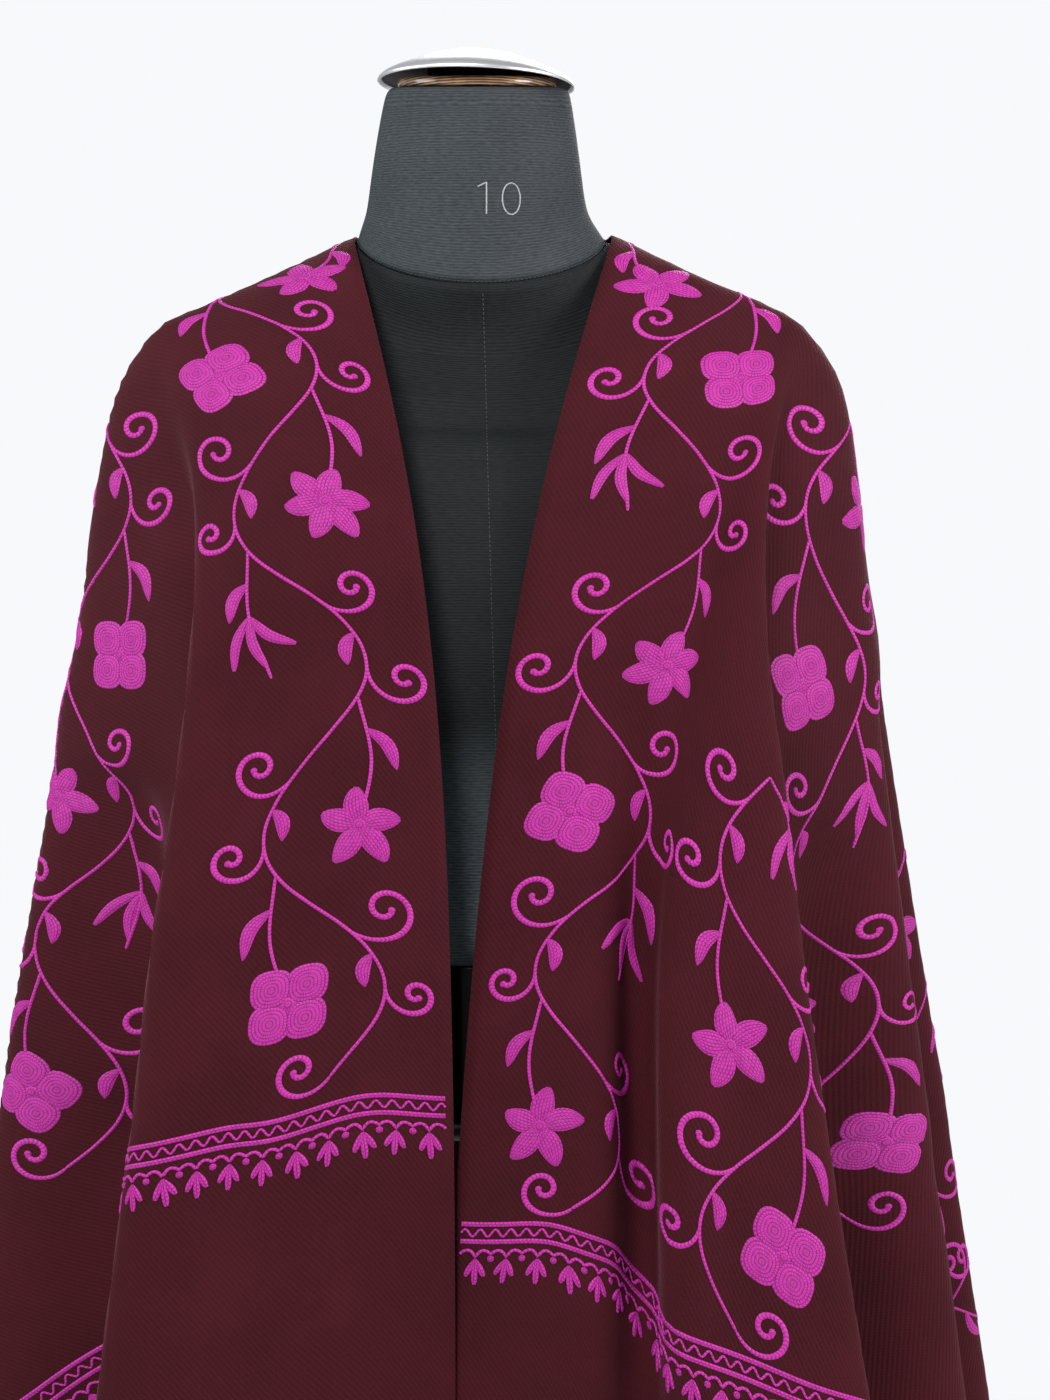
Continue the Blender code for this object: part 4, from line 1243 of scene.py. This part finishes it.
for side, top_line in border_top_lines.items():
    sign = sides[side]["sign"]

    def border_line(work, in_places, down, width, rows):
        along = sign * (top_line + down + hand_waver(in_places))
        line = np.stack([along, in_places], axis=1)
        band(work, line, np.full(len(line), width / 2), stem_height, rows, 2 * rows + 2)

    lines = Stitching()
    straight = np.arange(border_margin, cloth_width - border_margin, 0.003)
    fine = np.arange(border_margin, cloth_width - border_margin, 0.0009)
    border_line(lines, straight, 0.0, double_row, 2)
    border_line(lines, straight, border_lines_apart, double_row, 2)
    swing = zigzag_depth * np.sin(2 * math.pi * fine / zigzag_length)
    border_line(lines, fine, border_lines_apart / 2 + swing, zigzag_row, 1)
    share = (fine - border_margin) / pendant_pitch - 0.5
    toward_spray = np.abs(share - np.round(share)) < 0.25
    dip = np.where(toward_spray, dip_at_spray, dip_at_bead) * (1 - np.abs(np.sin(2 * math.pi * share)) ** 0.7)
    border_line(lines, fine, scallop_down + dip, row_width, 1)
    for bead in range(1, pendants):
        in_place = border_margin + bead * pendant_pitch
        down = scallop_down + dip_at_bead + bead_radius * 1.2 + hand_waver(in_place)
        knot(lines, (sign * (top_line + down), in_place), bead_radius, filling_height, 2)
    embroidery.append(lines.hung(f"{side}_border_lines"))

    spray = Stitching()
    for pendant_leaf in pendant_leaves:
        row = dict(zip(pendant_columns, pendant_leaf))
        turn = math.radians(row["turn"])
        heading = np.array([math.sin(turn), math.cos(turn)])
        foot = heading * 0.0006
        tip = heading * row["length"]
        leaf(spray, [foot, tip * 0.55, tip], row["width"], 0.45, 1.5, 0.4)
    sprays_along = sign * (top_line + scallop_down + dip_at_spray)
    ends = (border_margin + pendant_pitch / 2, cloth_width - border_margin - pendant_pitch / 2)
    path = [(sprays_along, in_place, 0.0) for in_place in ends[::-sign]]
    sprays = instances_along(
        f"{side}_border_sprays", path,
        spray.mesh("border_spray", np.concatenate(spray.flat)), thread_material,
        pendants, turn_spread=math.radians(7), size_spread=0.06, seed=4,
    )
    flat = np.empty(len(sprays.vertices) * 3, np.float32)
    sprays.vertices.foreach_get("co", flat)
    flat = flat.reshape(-1, 3).astype(float)
    flat[:, 0] += sign * hand_waver(flat[:, 1])
    sprays.vertices.foreach_set("co", hung_on_cloth(flat).astype(np.float32).ravel())
    sprays.update()
    hung_sprays = in_scene(f"{side}_border_sprays", sprays)
    embroidery.append(hung_sprays)

# The back, the folds and the low sides are not seen in the photograph. They carry a short vine, set out
# over the cloth by the table below.
spray_chart = vine([(-1, -10), (1, 0), (-1, 10)], 2, 2.6, ("star", "rosette"))
spray_columns = ("along", "in_from_edge", "turn", "mirror", "size")
spray_places = [
    (0.010, 0.120, 80, 1, 0.80),
    (-0.020, 0.320, 20, -1, 0.95),
    (0.010, 0.540, 200, 1, 1.00),
    (-0.010, 0.760, 10, -1, 1.00),
    (0.020, 0.905, 95, 1, 0.72),
    (-0.200, 0.420, 150, 1, 0.95),
    (-0.200, 0.640, 340, -1, 1.00),
    (-0.190, 0.860, 190, 1, 0.95),
    (-0.400, 0.640, 20, 1, 0.95),
    (-0.390, 0.860, 170, -1, 1.00),
    (-0.560, 0.720, 90, 1, 0.80),
    (-0.565, 0.885, 250, 1, 0.75),
    (0.205, 0.430, 20, -1, 0.95),
    (0.215, 0.650, 190, 1, 1.00),
    (0.210, 0.865, 10, -1, 0.95),
    (0.420, 0.650, 165, -1, 0.95),
    (0.430, 0.865, 340, 1, 1.00),
    (0.610, 0.700, 350, -1, 0.85),
    (0.620, 0.885, 170, 1, 0.80),
]
back_stems = Stitching()
back_flowers = Stitching()
for place in spray_places:
    row = dict(zip(spray_columns, place))
    turn = math.radians(row["turn"])
    cosine, sine = math.cos(turn) * row["size"], math.sin(turn) * row["size"]

    def placed(chart_place):
        """A place of the spray's own chart as (along, in) in metres on the cloth."""
        across, down = chart_place[0] * row["mirror"], chart_place[1]
        return (row["along"] + (down * cosine - across * sine) * centimetre,
                row["in_from_edge"] + (across * cosine + down * sine) * centimetre)

    embroider(spray_chart, placed, back_stems, back_flowers, row["size"] * centimetre)
embroidery += [back_stems.hung("back_stems"), back_flowers.hung("back_flowers")]

for piece in embroidery:
    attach(piece, "root")

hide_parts("shawl")
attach(draped_shawl, "root")

# Floor: a plain pale disc that the stand rests on
floor_radius = 2.8
floor_mesh = bpy.data.meshes.new("floor")
floor_turns = [2 * math.pi * index / 96 for index in range(96)]
floor_rim = [(floor_radius * math.cos(turn), floor_radius * math.sin(turn), 0.0) for turn in floor_turns]
floor_mesh.from_pydata(floor_rim, [], [list(range(len(floor_rim)))])
floor = in_scene("floor", floor_mesh)
floor_paint = new_material("pale_floor")
floor_paint.node_tree.nodes["Principled BSDF"].inputs["Base Color"].default_value = (0.80, 0.80, 0.81, 1.0)
floor_paint.node_tree.nodes["Principled BSDF"].inputs["Roughness"].default_value = 0.7
floor_mesh.materials.append(floor_paint)

# Light: a bright plain studio, with one broad soft light high in front and a weaker one at each side
world = bpy.data.worlds.new("studio")
world.use_nodes = True
world.node_tree.nodes["Background"].inputs["Color"].default_value = (0.96, 0.975, 1.0, 1.0)
backdrop_strength = 0.97
ambient_strength = 0.42
seen_directly = node(world.node_tree, "ShaderNodeLightPath").outputs["Is Camera Ray"]
brightness = math_node(
    world.node_tree, "MULTIPLY_ADD", seen_directly, backdrop_strength - ambient_strength, ambient_strength
)
world.node_tree.links.new(brightness, world.node_tree.nodes["Background"].inputs["Strength"])
bpy.context.scene.world = world
bpy.context.scene.view_settings.view_transform = "Standard"
light_columns = ("name", "place", "aim", "size", "watts", "color")
lights = [
    ("front", (-0.9, -2.1, 3.0), (0.0, 0.0, 1.25), 0.9, 98.0, (1.0, 0.98, 0.96)),
    ("right", (2.2, -0.8, 1.9), (0.0, 0.0, 1.0), 1.2, 66.0, (1.0, 0.94, 0.95)),
    ("left", (-2.2, -0.3, 1.9), (0.0, 0.0, 1.0), 1.2, 29.0, (0.95, 0.98, 1.0)),
    ("behind", (0.6, 2.4, 2.4), (0.0, 0.0, 1.1), 1.6, 60.0, (1.0, 1.0, 1.0)),
]
for light in lights:
    row = dict(zip(light_columns, light))
    data = bpy.data.lights.new(row["name"], "AREA")
    data.size = row["size"]
    data.energy = row["watts"]
    data.color = row["color"]
    lamp = bpy.data.objects.new(row["name"] + "_light", data)
    lamp.location = row["place"]
    lamp.rotation_euler = (Vector(row["aim"]) - Vector(row["place"])).to_track_quat("-Z", "Y").to_euler()
    bpy.context.scene.collection.objects.link(lamp)
